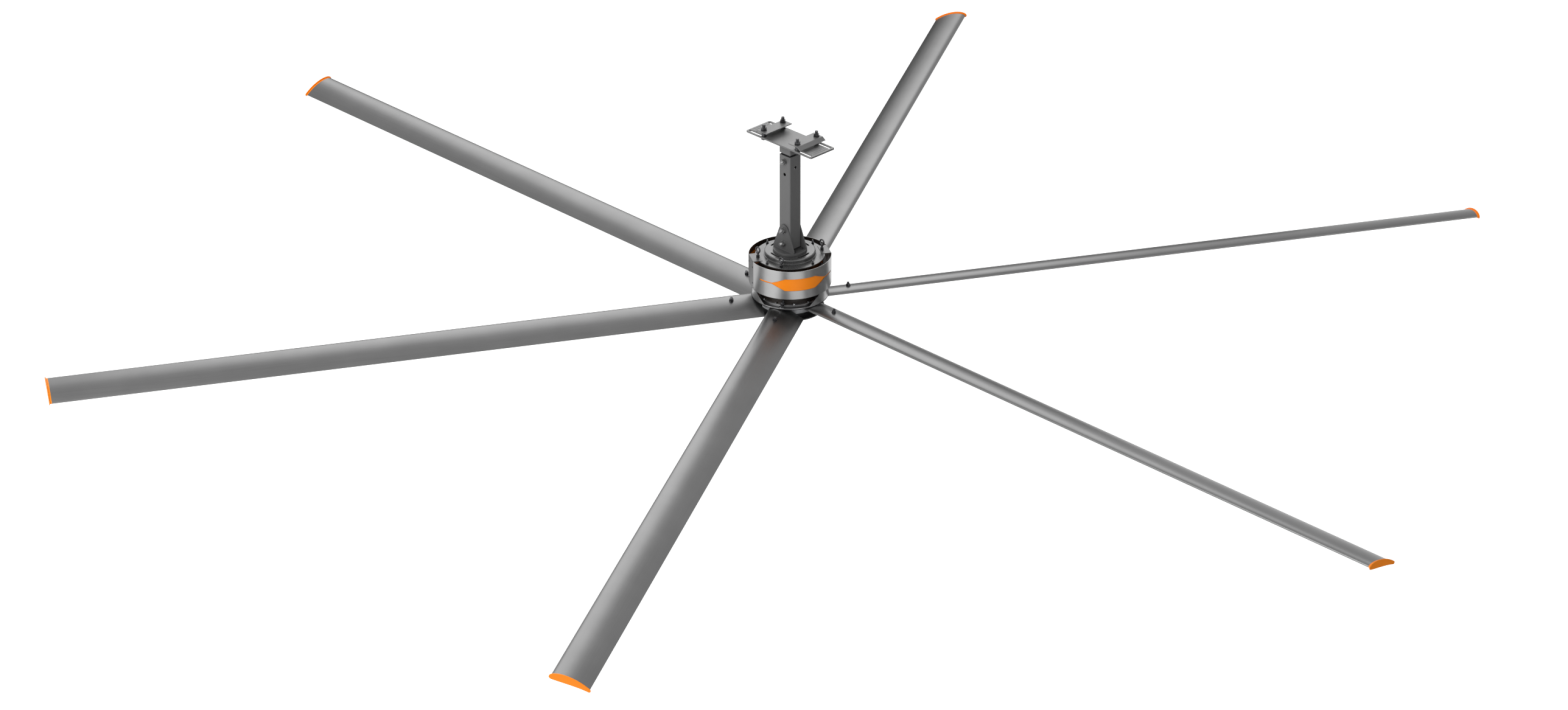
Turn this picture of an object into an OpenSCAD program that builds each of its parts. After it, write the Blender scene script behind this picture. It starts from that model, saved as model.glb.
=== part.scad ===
// Industrial ceiling fan that hangs from a beam: six extruded blades on a gearless outer-rotor motor.
// The origin is the middle of the mounting plate's top face. X runs along the plate and blade 1, Z up.

/* [Ceiling mount] */
// Length of the mounting plate, along X
plate_l = 446; // [436:2:480]
// Width of the mounting plate, along Y
plate_w = 164; // [160:2:190]
// Thickness of the mounting plate
plate_t = 8; // [6:1:12]
// Corner radius of the mounting plate
plate_corner = 8; // [3:1:14]
// Distance between the two rows of clamp slots
slot_gap = 130; // [122:2:134]
// Width of a clamp slot
slot_w = 17; // [17:0.5:19]
// Distance from the middle of the plate to a slot's inner end
slot_in = 98; // [90:1:104]
// Plate left between a slot's outer end and the plate's end
slot_margin = 10; // [8:1:16]
// Length of the stub tube welded under the plate
stub_l = 59; // [50:1:90]

/* [Beam clamps] */
// How far a clamp plate stands past each side of the mounting plate
clamp_over = 5; // [2:1:10]
// Length of the flat lip along X
clamp_lip = 63; // [56:1:80]
// Sheet thickness of a clamp plate
clamp_t = 5; // [4:0.5:7]
// Free height under the lip, for the beam's flange
clamp_gap = 26; // [22:1:36]
// How far the bent leg runs outwards
leg_run = 20; // [14:1:26]
// How far the bent leg comes down
leg_drop = 15; // [10:1:18]
// Distance from the middle of the plate to the clamp bolts, as shown
clamp_x = 115; // [113:1:140]
// Distance from the lip's inner edge to the clamp bolts
clamp_bolt_in = 41; // [34:1:42]

/* [Downrod] */
// Outer width of the square tube
tube_w = 76; // [72:1:80]
// Wall thickness of the square tube
tube_wall = 5; // [4:0.5:6]
// Outer corner radius of the square tube
tube_corner = 6; // [6:0.5:9]
// Length of the downrod
rod_l = 500; // [400:10:1500]
// Free height between the stub tube and the downrod
joint_gap = 11; // [9:1:16]
// Distance from the downrod's top end to its hanging bolt
rod_bolt_down = 30; // [28:1:36]
// Distance from the hanging bolt down to the spare bolt hole
spare_down = 70; // [60:1:90]
// Distance from the hanging bolt down to the safety cable hole
cable_down = 32; // [32:0.5:40]
// Diameter of the spare bolt hole
spare_d = 17; // [15:0.5:18]
// Diameter of the safety cable hole
cable_d = 15; // [12:0.5:15]
// Free width between the coupling tube and the downrod, on each side
coupling_play = 3; // [2.6:0.2:4]
// Thread diameter of the large bolts
bolt_d = 16; // [14:1:16]

/* [Clevis] */
// Thickness of each clevis plate
clevis_t = 6; // [5:0.5:8]
// Width of a clevis plate at its foot
clevis_w = 142; // [130:1:150]
// Radius of a clevis plate's rounded top
clevis_top_r = 31; // [26:1:36]
// Height of the upright sides at a clevis plate's foot
clevis_side_h = 10; // [6:1:16]
// Diameter of the clevis's base disc
base_d = 169; // [162:1:176]
// Thickness of the clevis's base disc
base_t = 12; // [10:1:16]
// Distance from the downrod's lower end to the first clevis bolt
clevis_bolt_up = 30; // [28:1:36]
// Distance between the two clevis bolts
clevis_bolt_gap = 70; // [60:1:90]
// Free height between the downrod and the base disc
rod_foot_gap = 6; // [4:1:12]

/* [Motor] */
// Diameter of the raised cap
cap_d = 252; // [246:1:258]
// Height of the raised cap
cap_h = 24; // [24:1:32]
// Sheet thickness of the raised cap
cap_t = 5; // [4:0.5:6]
// Radius on which the cap's curved slots lie
vent_r = 100; // [97:1:103]
// Width of the cap's curved slots
vent_w = 10; // [8:0.5:12]
// Diameter of the stator flange
flange_d = 344; // [340:1:350]
// Thickness of the stator flange
flange_t = 6; // [5:0.5:10]
// Free height between the stator flange and the rotor
run_gap = 2; // [1:0.5:4]
// Height of the rotor, from the hub disc to its top shield
rotor_h = 204; // [200:1:230]
// Diameter of the rotor drum
drum_d = 304; // [300:1:306]
// Wall thickness of the rotor drum
drum_wall = 10; // [8:0.5:12]
// Diameter of the rotor's top shield
shield_d = 320; // [316:1:326]
// Diameter of the motor shaft
shaft_d = 64; // [56:1:66]
// Bore of the motor shaft, for the supply wires
shaft_bore = 36; // [24:1:40]
// Outer diameter of the two bearings
bearing_d = 110; // [108:1:116]
// Height of each bearing
bearing_h = 20; // [18:1:22]
// Height of the stator's lamination stack
stack_h = 80; // [60:1:90]
// Number of stator teeth and coils
teeth = 24; // [18:3:30]

/* [Shroud] */
// Outer diameter of the shroud
shroud_d = 410; // [404:1:424]
// Sheet thickness of the shroud
shroud_t = 2; // [1.5:0.25:2.5]
// Height of the shroud
shroud_h = 151; // [140:1:151]
// Angle that each shroud bracket takes up
bracket_arc = 27; // [24:0.5:30]
// Height of the wide part of the badge opening
badge_h = 64; // [50:1:70]

/* [Hub] */
// Diameter of the hub disc
disc_d = 384; // [383:1:390]
// Thickness of the hub disc
disc_t = 3; // [3:0.5:5]
// Height of the skirt at its two high sides
skirt_h = 71; // [60:1:80]
// Diameter of the hub core
hub_core_d = 310; // [300:1:312]
// Height of the hub core
hub_core_h = 41; // [41:1:50]
// Diameter of the bottom cover
cover_d = 342; // [330:1:350]
// Height of the bottom cover
cover_h = 33; // [24:1:40]

/* [Blades] */
// Diameter of the fan, across the tips
fan_d = 7300; // [4000:100:7300]
// Distance from the middle of the fan to a blade's root
root_r = 157; // [157:1:160]
// Chord of a blade
chord = 177; // [170:1:180]
// Thickness of a blade at its crest
blade_h = 28; // [27:0.5:32]
// Wall thickness of a blade
blade_wall = 2; // [1.6:0.1:2.4]
// Pitch of the blades
pitch = 13.8; // [10:0.2:14]
// Width of a blade spar
spar_w = 50; // [44:1:54]
// Distance from the middle of the fan to a spar's outer end
spar_out_r = 430; // [400:5:600]
// Distance from the middle of the fan to the hub bolts
hub_bolt_r = 178; // [178:0.5:178]
// Distance from the middle of the fan to the blade bolts
blade_bolt_r = 300; // [280:5:340]
// Thickness of an end cap's outer plate
cap_plate_t = 4; // [3:0.5:6]

/* [Hidden] */

// Fineness of round shapes, and how far a cut runs past a face
$fn = 64;
overrun = 1;
quarter = 90;
quarters = [0 : quarter : 3 * quarter];

// Colours of the finishes
steel_grey = "#6f6f6f";
plate_grey = "#9c9c9c";
sheet_silver = "#c2c4c6";
blade_silver = "#a9acae";
bolt_dark = "#3c3c3e";
bolt_bright = "#b8babc";
orange = "#ff8c28";
drum_dark = "#3a3330";
cover_black = "#1c1c1d";
copper = "#b56b3a";
lamination = "#70747a";

// Fits and clearances
bolt_play = 0.5;
thread_play = 0.15;
hinge_play = 0.05;
seat_play = 0.3;
clevis_play = 1;

// Washers, nuts and heads of a bolt, as shares of its thread diameter
nut_across_share = 1.73;
nut_h_share = 0.8;
head_h_share = 0.62;
washer_share = 1.9;
washer_t_share = 0.18;
thread_end_share = 0.75;

// Smaller bolts and screws
hub_bolt_d = 12;
blade_bolt_d = 12;
eye_bolt_d = 10;
small_bolt_d = 8;
screw_d = 6;
screw_head_d = 10;
screw_head_h = 5;
screw_in = 4;
sheet_screw_d = 5;
sheet_screw_head_d = 8;
sheet_screw_head_h = 2.5;

// Levels, from the top of the mounting plate down
stub_bottom = -plate_t - stub_l;
rod_top = stub_bottom - joint_gap;
rod_bottom = rod_top - rod_l;
rod_bolt_z = rod_top - rod_bolt_down;
base_top = rod_bottom - rod_foot_gap;
cap_top = base_top - base_t;
flange_top = cap_top - cap_h;
flange_bottom = flange_top - flange_t;
rotor_top = flange_bottom - run_gap;
disc_top = rotor_top - rotor_h;
disc_bottom = disc_top - disc_t;
hub_core_bottom = disc_bottom - hub_core_h;
cover_bottom = hub_core_bottom - cover_h;

// Ridges pressed across both ends of the mounting plate
ridge_count = 5;
ridge_pitch = 14;
ridge_w = 6;
ridge_h = 1.2;
ridge_end = 16;

// Coupling tube inside the joint between stub and downrod
coupling_wall = 5;
coupling_below = 22;
coupling_w = tube_w - 2 * tube_wall - 2 * coupling_play;
coupling_top = -plate_t;
coupling_bottom = rod_bolt_z - coupling_below;

// Clamp bolts and their spacer sleeves
spacer_wall = 3;
clamp_screw_d = bolt_d;
spacer_d = clamp_screw_d + 2 * bolt_play + 2 * spacer_wall;
clamp_thread_up = 14;
track_depth = 0.5;
track_play = 0.6;

// Base disc and clevis
base_screw_r = 62;
base_screw_turn = 24;
wire_bore = shaft_bore;

// Stator cap and the shaft's head below it
cap_round = 6;
cap_round_steps = 5;
cap_step = 4;
vent_arc = 40;
head_t = 8;
head_gap = 4;
head_d = cap_d - 2 * cap_t - 2 * head_gap;
boss_d = 150;
cap_screw_turn = 12;

// Bolts on the stator flange
eye_r = 163;
eye_turns = [60, 120, 240, 300];
eye_ring_r = 13;
eye_wire_r = 4;
eye_flat = 2.5;
eye_up = 42;
eye_collar_d = 17;
eye_collar_h = 6;
eye_nut_z = 3;
flange_bolt_r = 158;
flange_stud_up = 20;

// Rotor and what it holds
shield_t = 3;
vent_ring_h = 15;
vent_ring_wall = 10;
vent_groups = 12;
vent_slots = 8;
vent_pitch = 2.5;
vent_slot_w = 3.6;
vent_slot_h = 12;
boss_wall = 13;
shoulder = 8;
web_t = 6;
lower_bearing_up = 23;
upper_bearing_down = 8;
magnet_t = 8;
magnet_count = 28;
magnet_share = 0.86;
air_gap = 1;
core_yoke = 18;
slot_depth = 34;
tooth_share = 0.45;
coil_share = 0.75;
stator_hub_t = 20;
core_up = 63;
coil_overhang = 12;
coil_gap = 1;
ring_t = 8;
ball_d = 13;
ball_count = 12;
ball_gap = 0.3;
nut_ring_h = 12;
shaft_past_nut = 2;
shaft_hole_play = 6;

// Foot ring of the drum
foot_ring_h = 10;
foot_ring_w = 15;
foot_screw_turns = [22.5, -11];

// Shroud, its brackets and badge panels
shroud_above_flange = 1;
bracket_t = 2;
bracket_in = 48;
bracket_cut = 26;
tab_w = 26;
tab_over = 3;
screw_cut = 12;
bracket_screw_side = 36;
bracket_screw_rows = [32, 118];
bracket_turn = 60;
badge_turn = -30;
badge_half_turn = 22;
badge_neck_turn = 41;
badge_tip_turn = 61.5;
badge_play = 0.5;
badge_t = 1;
badge_margin = 10;
badge_arc = 136;
badge_up = 78;

// Hub
hub_bore_d = 110;
skirt_t = 2;
skirt_inset = 1;
skirt_lip = 4;
skirt_notch_low = 112;
skirt_notch_high = 174;
skirt_turn = -51;
core_wall = 60;
socket_play = 0.2;
core_screw_r = 125;
spar_in = 5;
cover_plate_t = 4;
cover_wall_d = 284;
cover_rim_w = 6;
cover_rim_h = 6;
cover_screw_r = 128;

// Blade section: shares of the chord and of the thickness
crest_share = 0.63;
spar_share = 0.667;
nose_share = 0.94;
te_t = 3;
nose_r = 4;
under_rise = 3;
rise_scale = 27 / 4;
rear_steps = 9;
front_steps = 8;
nose_steps = 3;
under_steps = 7;
te_solid = 24;
nose_solid = 9;
web = 2;
spar_room = 8;
cavity_steps = 6;
blade_seat = 0.4;

// End caps
cap_proud = 6.5;
collar_l = 9;
plug_l = 24;
plug_play = 0.3;

blade_turns = [for (i = [0 : 5]) i * 60];
between_turns = [for (turn = blade_turns) turn + 30];
spar_x = chord * spar_share;
spar_h = blade_h - 2 * blade_wall - spar_room;
tip_r = fan_d / 2;
blade_end = tip_r - cap_plate_t - collar_l;
hub_bolt_up = 66;
hub_jam_up = 44;
washer_top = 28;
head_reach = nut_across_share * hub_bolt_d / 2 / chord;

// Height of the section's upper and lower side at the share u of the chord, from the trailing edge
function rear_rise(u) = te_t + (blade_h - te_t) * (1 - pow(1 - u / crest_share, 2));
function front_share(u) = (u - crest_share) / (1 - crest_share);
function front_fall(u) = nose_r + (blade_h - nose_r) * sqrt(1 - pow(front_share(u), 2));
function top_y(u) = u < crest_share ? rear_rise(u) : front_fall(u);
function nose_curl(u) = 1 - sqrt(1 - pow((u - nose_share) / (1 - nose_share), 2));
function under_bow(u) = under_rise * rise_scale * u * pow(1 - u, 2);
function under_y(u) = under_bow(u) + (u > nose_share ? nose_r * nose_curl(u) : 0);

// Outline of the section, clockwise from the trailing edge over the top
blade_top = concat(
    [for (k = [0 : rear_steps - 1]) crest_share * k / rear_steps],
    [for (k = [0 : front_steps]) crest_share + (1 - crest_share) * sin(quarter * k / front_steps)]
);
blade_under = concat(
    [for (k = [nose_steps - 1 : -1 : 1]) nose_share + (1 - nose_share) * sin(quarter * k / nose_steps)],
    [for (k = [under_steps : -1 : 0]) nose_share * k / under_steps]
);
blade_outline = concat(
    [for (u = blade_top) [u * chord, top_y(u)]],
    [for (u = blade_under) [u * chord, under_y(u)]]
);

// The outline pushed outwards, square to itself
function pick(list, i) = list[(i + len(list)) % len(list)];
function side_on(list, i) = let (d = pick(list, i + 1) - pick(list, i - 1)) [-d[1], d[0]] / norm(d);
function grown(list, by) = [for (i = [0 : len(list) - 1]) list[i] + by * side_on(list, i)];

// Where a bolt's head bears under the blade, whose underside slopes across it, and where a washer bears
head_seat = under_y(spar_share + head_reach) - blade_h / 2;
washer_seat = blade_h / 2;

// From section coordinates to a plane across the spar, with the leading edge towards -Y
function across(list) = [for (p = list) [spar_x - p[0], p[1] - blade_h / 2]];

// How high the pitched section stands above the spar's axis, and the axis's own height
blade_rise = max([for (p = across(blade_outline)) p[1] * cos(pitch) - p[0] * sin(pitch)]);
spar_z = disc_bottom - blade_seat - blade_rise;

// Repeated shapes

module around(turns) {
    for (turn = turns) {
        rotate([0, 0, turn]) children();
    }
}

module ring(outer_d, inner_d, height) {
    difference() {
        cylinder(d = outer_d, h = height);
        translate([0, 0, -overrun]) cylinder(d = inner_d, h = height + 2 * overrun);
    }
}

module rounded_outline(w, d, r) {
    square([w - 2 * r, d], center = true);
    square([w, d - 2 * r], center = true);
    for (x = [-1, 1], y = [-1, 1]) {
        translate([x * (w / 2 - r), y * (d / 2 - r)]) circle(r = r);
    }
}

module square_tube(w, wall, corner, length) {
    linear_extrude(height = length) difference() {
        rounded_outline(w, w, corner);
        rounded_outline(w - 2 * wall, w - 2 * wall, corner - wall + overrun);
    }
}

// A bolt along +Z with its head's bearing face at zero, a hexagon head below and its nut above
module bolt(d, grip, thread_end) {
    translate([0, 0, -head_h_share * d]) cylinder(d = nut_across_share * d, h = head_h_share * d, $fn = 6);
    translate([0, 0, -overrun]) cylinder(d = d, h = overrun + grip + nut_h_share * d + thread_end);
}

module nut(d) {
    difference() {
        cylinder(d = nut_across_share * d, h = nut_h_share * d, $fn = 6);
        translate([0, 0, -overrun]) cylinder(d = d + 2 * thread_play, h = nut_h_share * d + 2 * overrun);
    }
}

module washer(d) {
    ring(washer_share * d, d + 2 * thread_play, washer_t_share * d);
}

// A washer and nut on a bolt, seated at height z
module washer_and_nut(d, z) {
    translate([0, 0, z]) washer(d);
    translate([0, 0, z + washer_t_share * d + thread_play]) nut(d);
}

module screw(head_d, head_h, d, depth) {
    cylinder(d = head_d, h = head_h, $fn = 6);
    translate([0, 0, -depth]) cylinder(d = d, h = depth + overrun);
}

// A point on a shaft through the downrod along +Y, starting on the -Y side
module across_rod(z, start_y) {
    translate([0, start_y, z]) rotate([-quarter, 0, 0]) children();
}

// The frame of one blade: X along the spar, Z square to the chord
module at_blade(turn) {
    rotate([0, 0, turn]) translate([0, 0, spar_z]) rotate([-pitch, 0, 0]) children();
}

module along_blade(start, length) {
    translate([start, 0, 0]) rotate([quarter, 0, quarter]) linear_extrude(height = length) children();
}

// Ceiling mount

module slot_shape(w, low, high) {
    first = slot_in + slot_w / 2;
    last = plate_l / 2 - slot_margin - slot_w / 2;
    translate([first, -w / 2, low]) cube([last - first, w, high - low]);
    for (x = [first, last]) {
        translate([x, 0, low]) cylinder(d = w, h = high - low);
    }
}

// A slot, and round it the shallow track of its spacer sleeve, which keeps the sleeve off the beam's seat
module clamp_slot() {
    slot_shape(slot_w, -plate_t - overrun, overrun);
    slot_shape(spacer_d + 2 * track_play, -track_depth, overrun);
}

module ridge_places() {
    for (side = [-1, 1], k = [0 : ridge_count - 1]) {
        translate([side * (plate_l / 2 - ridge_end - k * ridge_pitch), 0, 0]) children();
    }
}

module mount_plate() {
    ridge_l = slot_gap - slot_w - 2 * ridge_w;
    color(plate_grey) difference() {
        union() {
            translate([0, 0, -plate_t]) linear_extrude(height = plate_t)
                rounded_outline(plate_l, plate_w, plate_corner);
            ridge_places() translate([0, 0, -plate_t - ridge_h / 2])
                cube([ridge_w, ridge_l, ridge_h], center = true);
        }
        for (side = [0, 180], y = [-1, 1]) {
            rotate([0, 0, side]) translate([0, y * slot_gap / 2, 0]) clamp_slot();
        }
        ridge_places() cube([ridge_w, ridge_l, 2 * ridge_h], center = true);
    }
}

module stub_tube() {
    color(steel_grey) translate([0, 0, stub_bottom]) square_tube(tube_w, tube_wall, tube_corner, stub_l);
}

module coupling_tube() {
    color(bolt_dark) difference() {
        translate([0, 0, coupling_bottom])
            square_tube(coupling_w, coupling_wall, tube_corner, coupling_top - coupling_bottom);
        across_rod(rod_bolt_z, -tube_w) cylinder(d = bolt_d, h = 2 * tube_w);
    }
}

// The hanging bolt: nut and thread end towards -Y, head towards +Y
module rod_bolt() {
    reach = tube_w / 2 + seat_play;
    color(bolt_dark) rotate([0, 0, 180]) across_rod(rod_bolt_z, -reach) {
        translate([0, 0, -washer_t_share * bolt_d]) {
            washer(bolt_d);
            translate([0, 0, -thread_play])
                bolt(bolt_d, 2 * reach + 2 * washer_t_share * bolt_d, thread_end_share * bolt_d);
        }
        washer_and_nut(bolt_d, 2 * reach);
    }
}

// Beam clamps

clamp_profile = [
    [-clamp_bolt_in, clamp_gap],
    [clamp_lip - clamp_bolt_in - clamp_t / 2, clamp_gap],
    [clamp_lip - clamp_bolt_in + leg_run - clamp_t, clamp_gap + clamp_t - leg_drop - clamp_t / 2],
    [clamp_lip - clamp_bolt_in + leg_run, clamp_gap + clamp_t - leg_drop],
    [clamp_lip - clamp_bolt_in, clamp_gap + clamp_t],
    [-clamp_bolt_in, clamp_gap + clamp_t]
];

module at_clamp(side) {
    rotate([0, 0, side]) translate([clamp_x, 0, 0]) children();
}

module clamp_bolt_places() {
    for (y = [-1, 1]) {
        translate([0, y * slot_gap / 2, 0]) children();
    }
}

module clamp_plate(side) {
    length = plate_w + 2 * clamp_over;
    color(plate_grey) at_clamp(side) difference() {
        translate([0, length / 2, 0]) rotate([quarter, 0, 0]) linear_extrude(height = length)
            polygon(clamp_profile);
        clamp_bolt_places() translate([0, 0, clamp_gap - overrun])
            cylinder(d = clamp_screw_d + 2 * bolt_play, h = clamp_t + 2 * overrun);
    }
}

module clamp_bolts(side) {
    color(bolt_dark) at_clamp(side) clamp_bolt_places() {
        grip = plate_t + clamp_gap + clamp_t;
        translate([0, 0, -plate_t])
            bolt(clamp_screw_d, grip + washer_t_share * clamp_screw_d, clamp_thread_up);
        washer_and_nut(clamp_screw_d, clamp_gap + clamp_t);
    }
}

module clamp_spacers(side) {
    color(plate_grey) at_clamp(side) clamp_bolt_places() translate([0, 0, -track_depth])
        ring(spacer_d, clamp_screw_d + 2 * bolt_play, clamp_gap + track_depth);
}

// Downrod and clevis

module downrod() {
    color(steel_grey) difference() {
        translate([0, 0, rod_bottom]) square_tube(tube_w, tube_wall, tube_corner, rod_l);
        across_rod(rod_bolt_z, -tube_w) cylinder(d = bolt_d + 2 * hinge_play, h = 2 * tube_w);
        across_rod(rod_bolt_z - spare_down, -tube_w) cylinder(d = spare_d, h = 2 * tube_w);
        for (k = [0, 1]) {
            across_rod(rod_bottom + clevis_bolt_up + k * clevis_bolt_gap, -tube_w)
                cylinder(d = bolt_d + 2 * hinge_play, h = 2 * tube_w);
        }
        translate([-tube_w, 0, rod_bolt_z - cable_down]) rotate([0, quarter, 0])
            cylinder(d = cable_d, h = 2 * tube_w);
    }
}

// Outline of one clevis plate: a round top, tangent sides and a short upright foot
clevis_top_up = rod_foot_gap + clevis_bolt_up + clevis_bolt_gap;
clevis_flare = [clevis_w / 2, clevis_side_h - clevis_top_up];
clevis_turn = atan2(clevis_flare[1], clevis_flare[0]) + acos(clevis_top_r / norm(clevis_flare));
clevis_steps = 24;

module clevis_outline() {
    sweep = 180 - 2 * clevis_turn;
    translate([0, clevis_top_up]) polygon(concat(
        [for (k = [0 : clevis_steps]) let (turn = clevis_turn + sweep * k / clevis_steps)
            clevis_top_r * [cos(turn), sin(turn)]],
        [
            [-clevis_flare[0], clevis_flare[1]],
            [-clevis_flare[0], -clevis_top_up],
            [clevis_flare[0], -clevis_top_up],
            clevis_flare
        ]
    ));
}

module base_screw_places() {
    for (side = [0, 180], turn = [-base_screw_turn, base_screw_turn]) {
        rotate([0, 0, side + turn]) translate([base_screw_r, 0, 0]) children();
    }
}

module clevis_bracket() {
    inner = tube_w / 2 + clevis_play;
    color(steel_grey) difference() {
        union() {
            translate([0, 0, cap_top]) cylinder(d = base_d, h = base_t);
            for (y = [-inner, inner + clevis_t]) {
                translate([0, y, base_top]) rotate([quarter, 0, 0])
                    linear_extrude(height = clevis_t) clevis_outline();
            }
        }
        for (k = [0, 1]) {
            across_rod(rod_bottom + clevis_bolt_up + k * clevis_bolt_gap, -tube_w)
                cylinder(d = bolt_d + 2 * hinge_play, h = 2 * tube_w);
        }
        translate([0, 0, cap_top - overrun]) {
            cylinder(d = wire_bore, h = base_t + 2 * overrun);
            base_screw_places() cylinder(d = small_bolt_d + 2 * bolt_play, h = base_t + 2 * overrun);
        }
    }
}

module clevis_bolts() {
    reach = tube_w / 2 + clevis_play + clevis_t;
    color(bolt_dark) for (k = [0, 1]) {
        rotate([0, 0, 180]) across_rod(rod_bottom + clevis_bolt_up + k * clevis_bolt_gap, -reach) {
            bolt(bolt_d, 2 * reach + washer_t_share * bolt_d, thread_end_share * bolt_d);
            washer_and_nut(bolt_d, 2 * reach);
        }
    }
}

module base_screws() {
    color(bolt_dark) translate([0, 0, base_top]) base_screw_places()
        screw(nut_across_share * small_bolt_d, screw_head_h, small_bolt_d, base_t + cap_t + head_t);
}

// Fixed part of the motor

// Profile of the cap, from the middle out: a flat top, a rounded edge, a wall and a step at the foot
cap_profile = concat(
    [[wire_bore / 2, cap_h - cap_t], [wire_bore / 2, cap_h]],
    [for (k = [0 : cap_round_steps])
        [cap_d / 2 - cap_round * (1 - sin(quarter * k / cap_round_steps)),
            cap_h - cap_round * (1 - cos(quarter * k / cap_round_steps))]],
    [[cap_d / 2, cap_step], [cap_d / 2 + cap_step, cap_step], [cap_d / 2 + cap_step, 0],
        [cap_d / 2 - cap_t, 0], [cap_d / 2 - cap_t, cap_h - cap_t]]
);

module curved_slot(r, w, arc, depth) {
    rotate([0, 0, -arc / 2]) rotate_extrude(angle = arc) translate([r - w / 2, 0]) square([w, depth]);
    for (turn = [-arc / 2, arc / 2]) {
        rotate([0, 0, turn]) translate([r, 0, 0]) cylinder(d = w, h = depth);
    }
}

module stator_cap() {
    color(plate_grey) translate([0, 0, flange_top]) difference() {
        rotate_extrude() polygon(cap_profile);
        translate([0, 0, cap_h - cap_t - overrun]) {
            around(quarters) curved_slot(vent_r, vent_w, vent_arc, cap_t + 2 * overrun);
            base_screw_places() cylinder(d = small_bolt_d + 2 * bolt_play, h = cap_t + 2 * overrun);
        }
    }
}

module cap_screw_places() {
    around(quarters) for (turn = [-cap_screw_turn, cap_screw_turn]) {
        rotate([0, 0, turn]) translate([vent_r, 0, 0]) children();
    }
}

module cap_screws() {
    color(bolt_bright) translate([0, 0, flange_top + head_t]) cap_screw_places()
        screw(screw_head_d, screw_head_h, screw_d, head_t + screw_in);
}

module stator_flange() {
    color(plate_grey) difference() {
        translate([0, 0, flange_bottom]) cylinder(d = flange_d, h = flange_t);
        translate([0, 0, flange_bottom - overrun]) {
            cylinder(d = shaft_d, h = flange_t + 2 * overrun);
            around(eye_turns) translate([eye_r, 0, 0]) cylinder(d = eye_bolt_d, h = flange_t + 2 * overrun);
            around(quarters) translate([flange_bolt_r, 0, 0])
                cylinder(d = small_bolt_d, h = flange_t + 2 * overrun);
        }
        translate([0, 0, flange_top]) cap_screw_places()
            translate([0, 0, -screw_in]) cylinder(d = screw_d, h = screw_in + overrun);
    }
}

module flange_bolts() {
    color(bolt_dark) around(quarters) translate([flange_bolt_r, 0, flange_bottom]) {
        cylinder(d = small_bolt_d, h = flange_t + flange_stud_up);
        washer_and_nut(small_bolt_d, flange_t);
    }
}

// Eye bolt for a guy wire: the ring stands in the XZ plane and has a short straight bore
module eye_bolt() {
    stem = flange_t + eye_up - eye_ring_r;
    cylinder(d = eye_bolt_d, h = stem);
    translate([0, 0, stem - eye_collar_h]) cylinder(d = eye_collar_d, h = eye_collar_h);
    translate([0, 0, flange_t + eye_up]) rotate([quarter, 0, 0]) difference() {
        rotate_extrude() translate([eye_ring_r, 0]) circle(r = eye_wire_r, $fn = 24);
        translate([0, 0, -eye_wire_r]) cylinder(r = eye_ring_r - eye_flat, h = 2 * eye_wire_r);
    }
}

module eye_bolts() {
    color(bolt_dark) for (turn = eye_turns) {
        rotate([0, 0, turn]) translate([eye_r, 0, flange_bottom]) rotate([0, 0, -turn]) {
            eye_bolt();
            washer_and_nut(eye_bolt_d, flange_t + bracket_t + eye_nut_z);
        }
    }
}

// Shroud

// A bracket's face lies on the chord of the arc that it closes
bracket_r = shroud_d / 2 * cos(bracket_arc / 2);
bracket_half = shroud_d / 2 * sin(bracket_arc / 2) - tab_over;
shroud_top = flange_top + shroud_above_flange;
shroud_bottom = shroud_top - shroud_h;

module bracket_screw_places() {
    for (y = [-1, 1], z = bracket_screw_rows) {
        translate([bracket_r, y * bracket_screw_side, shroud_bottom + z]) rotate([0, quarter, 0]) children();
    }
}

module shroud_bracket(turn) {
    color(sheet_silver) rotate([0, 0, turn]) difference() {
        union() {
            translate([bracket_r - bracket_t, -bracket_half, shroud_bottom])
                cube([bracket_t, 2 * bracket_half, shroud_h]);
            translate([bracket_r - bracket_in, -bracket_half, flange_top])
                cube([bracket_in, 2 * bracket_half, bracket_t]);
        }
        for (y = [-1, 1]) {
            translate([bracket_r - bracket_t / 2, y * bracket_half, shroud_bottom])
                rotate([quarter / 2, 0, 0])
                cube([bracket_t + overrun, bracket_cut, bracket_cut], center = true);
        }
        bracket_screw_places() cylinder(d = sheet_screw_d, h = screw_cut, center = true);
        translate([eye_r, 0, flange_top - overrun])
            cylinder(d = eye_bolt_d + bolt_play, h = bracket_t + 2 * overrun);
    }
}

// Outline of the badge opening, seen square to its middle: a six-sided panel with a tail on each side
badge_half = shroud_d / 2 * sin(badge_half_turn);
badge_neck = shroud_d / 2 * sin(badge_neck_turn);
badge_tip = shroud_d / 2 * sin(badge_tip_turn);
badge_tail_shares = [0.58, 0.5];
badge_tip_share = 0.5;

module badge_outline() {
    polygon([
        [-badge_tip, badge_h * badge_tip_share],
        [-badge_neck, badge_h * badge_tail_shares[0]],
        [-badge_half, badge_h],
        [badge_half, badge_h],
        [badge_neck, badge_h * badge_tail_shares[0]],
        [badge_tip, badge_h * badge_tip_share],
        [badge_neck, badge_h * badge_tail_shares[1]],
        [badge_half, 0],
        [-badge_half, 0],
        [-badge_neck, badge_h * badge_tail_shares[1]]
    ]);
}

module arc_sheet(outer_r, t, height, arc) {
    rotate([0, 0, -arc / 2]) rotate_extrude(angle = arc) translate([outer_r - t, 0]) square([t, height]);
}

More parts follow.
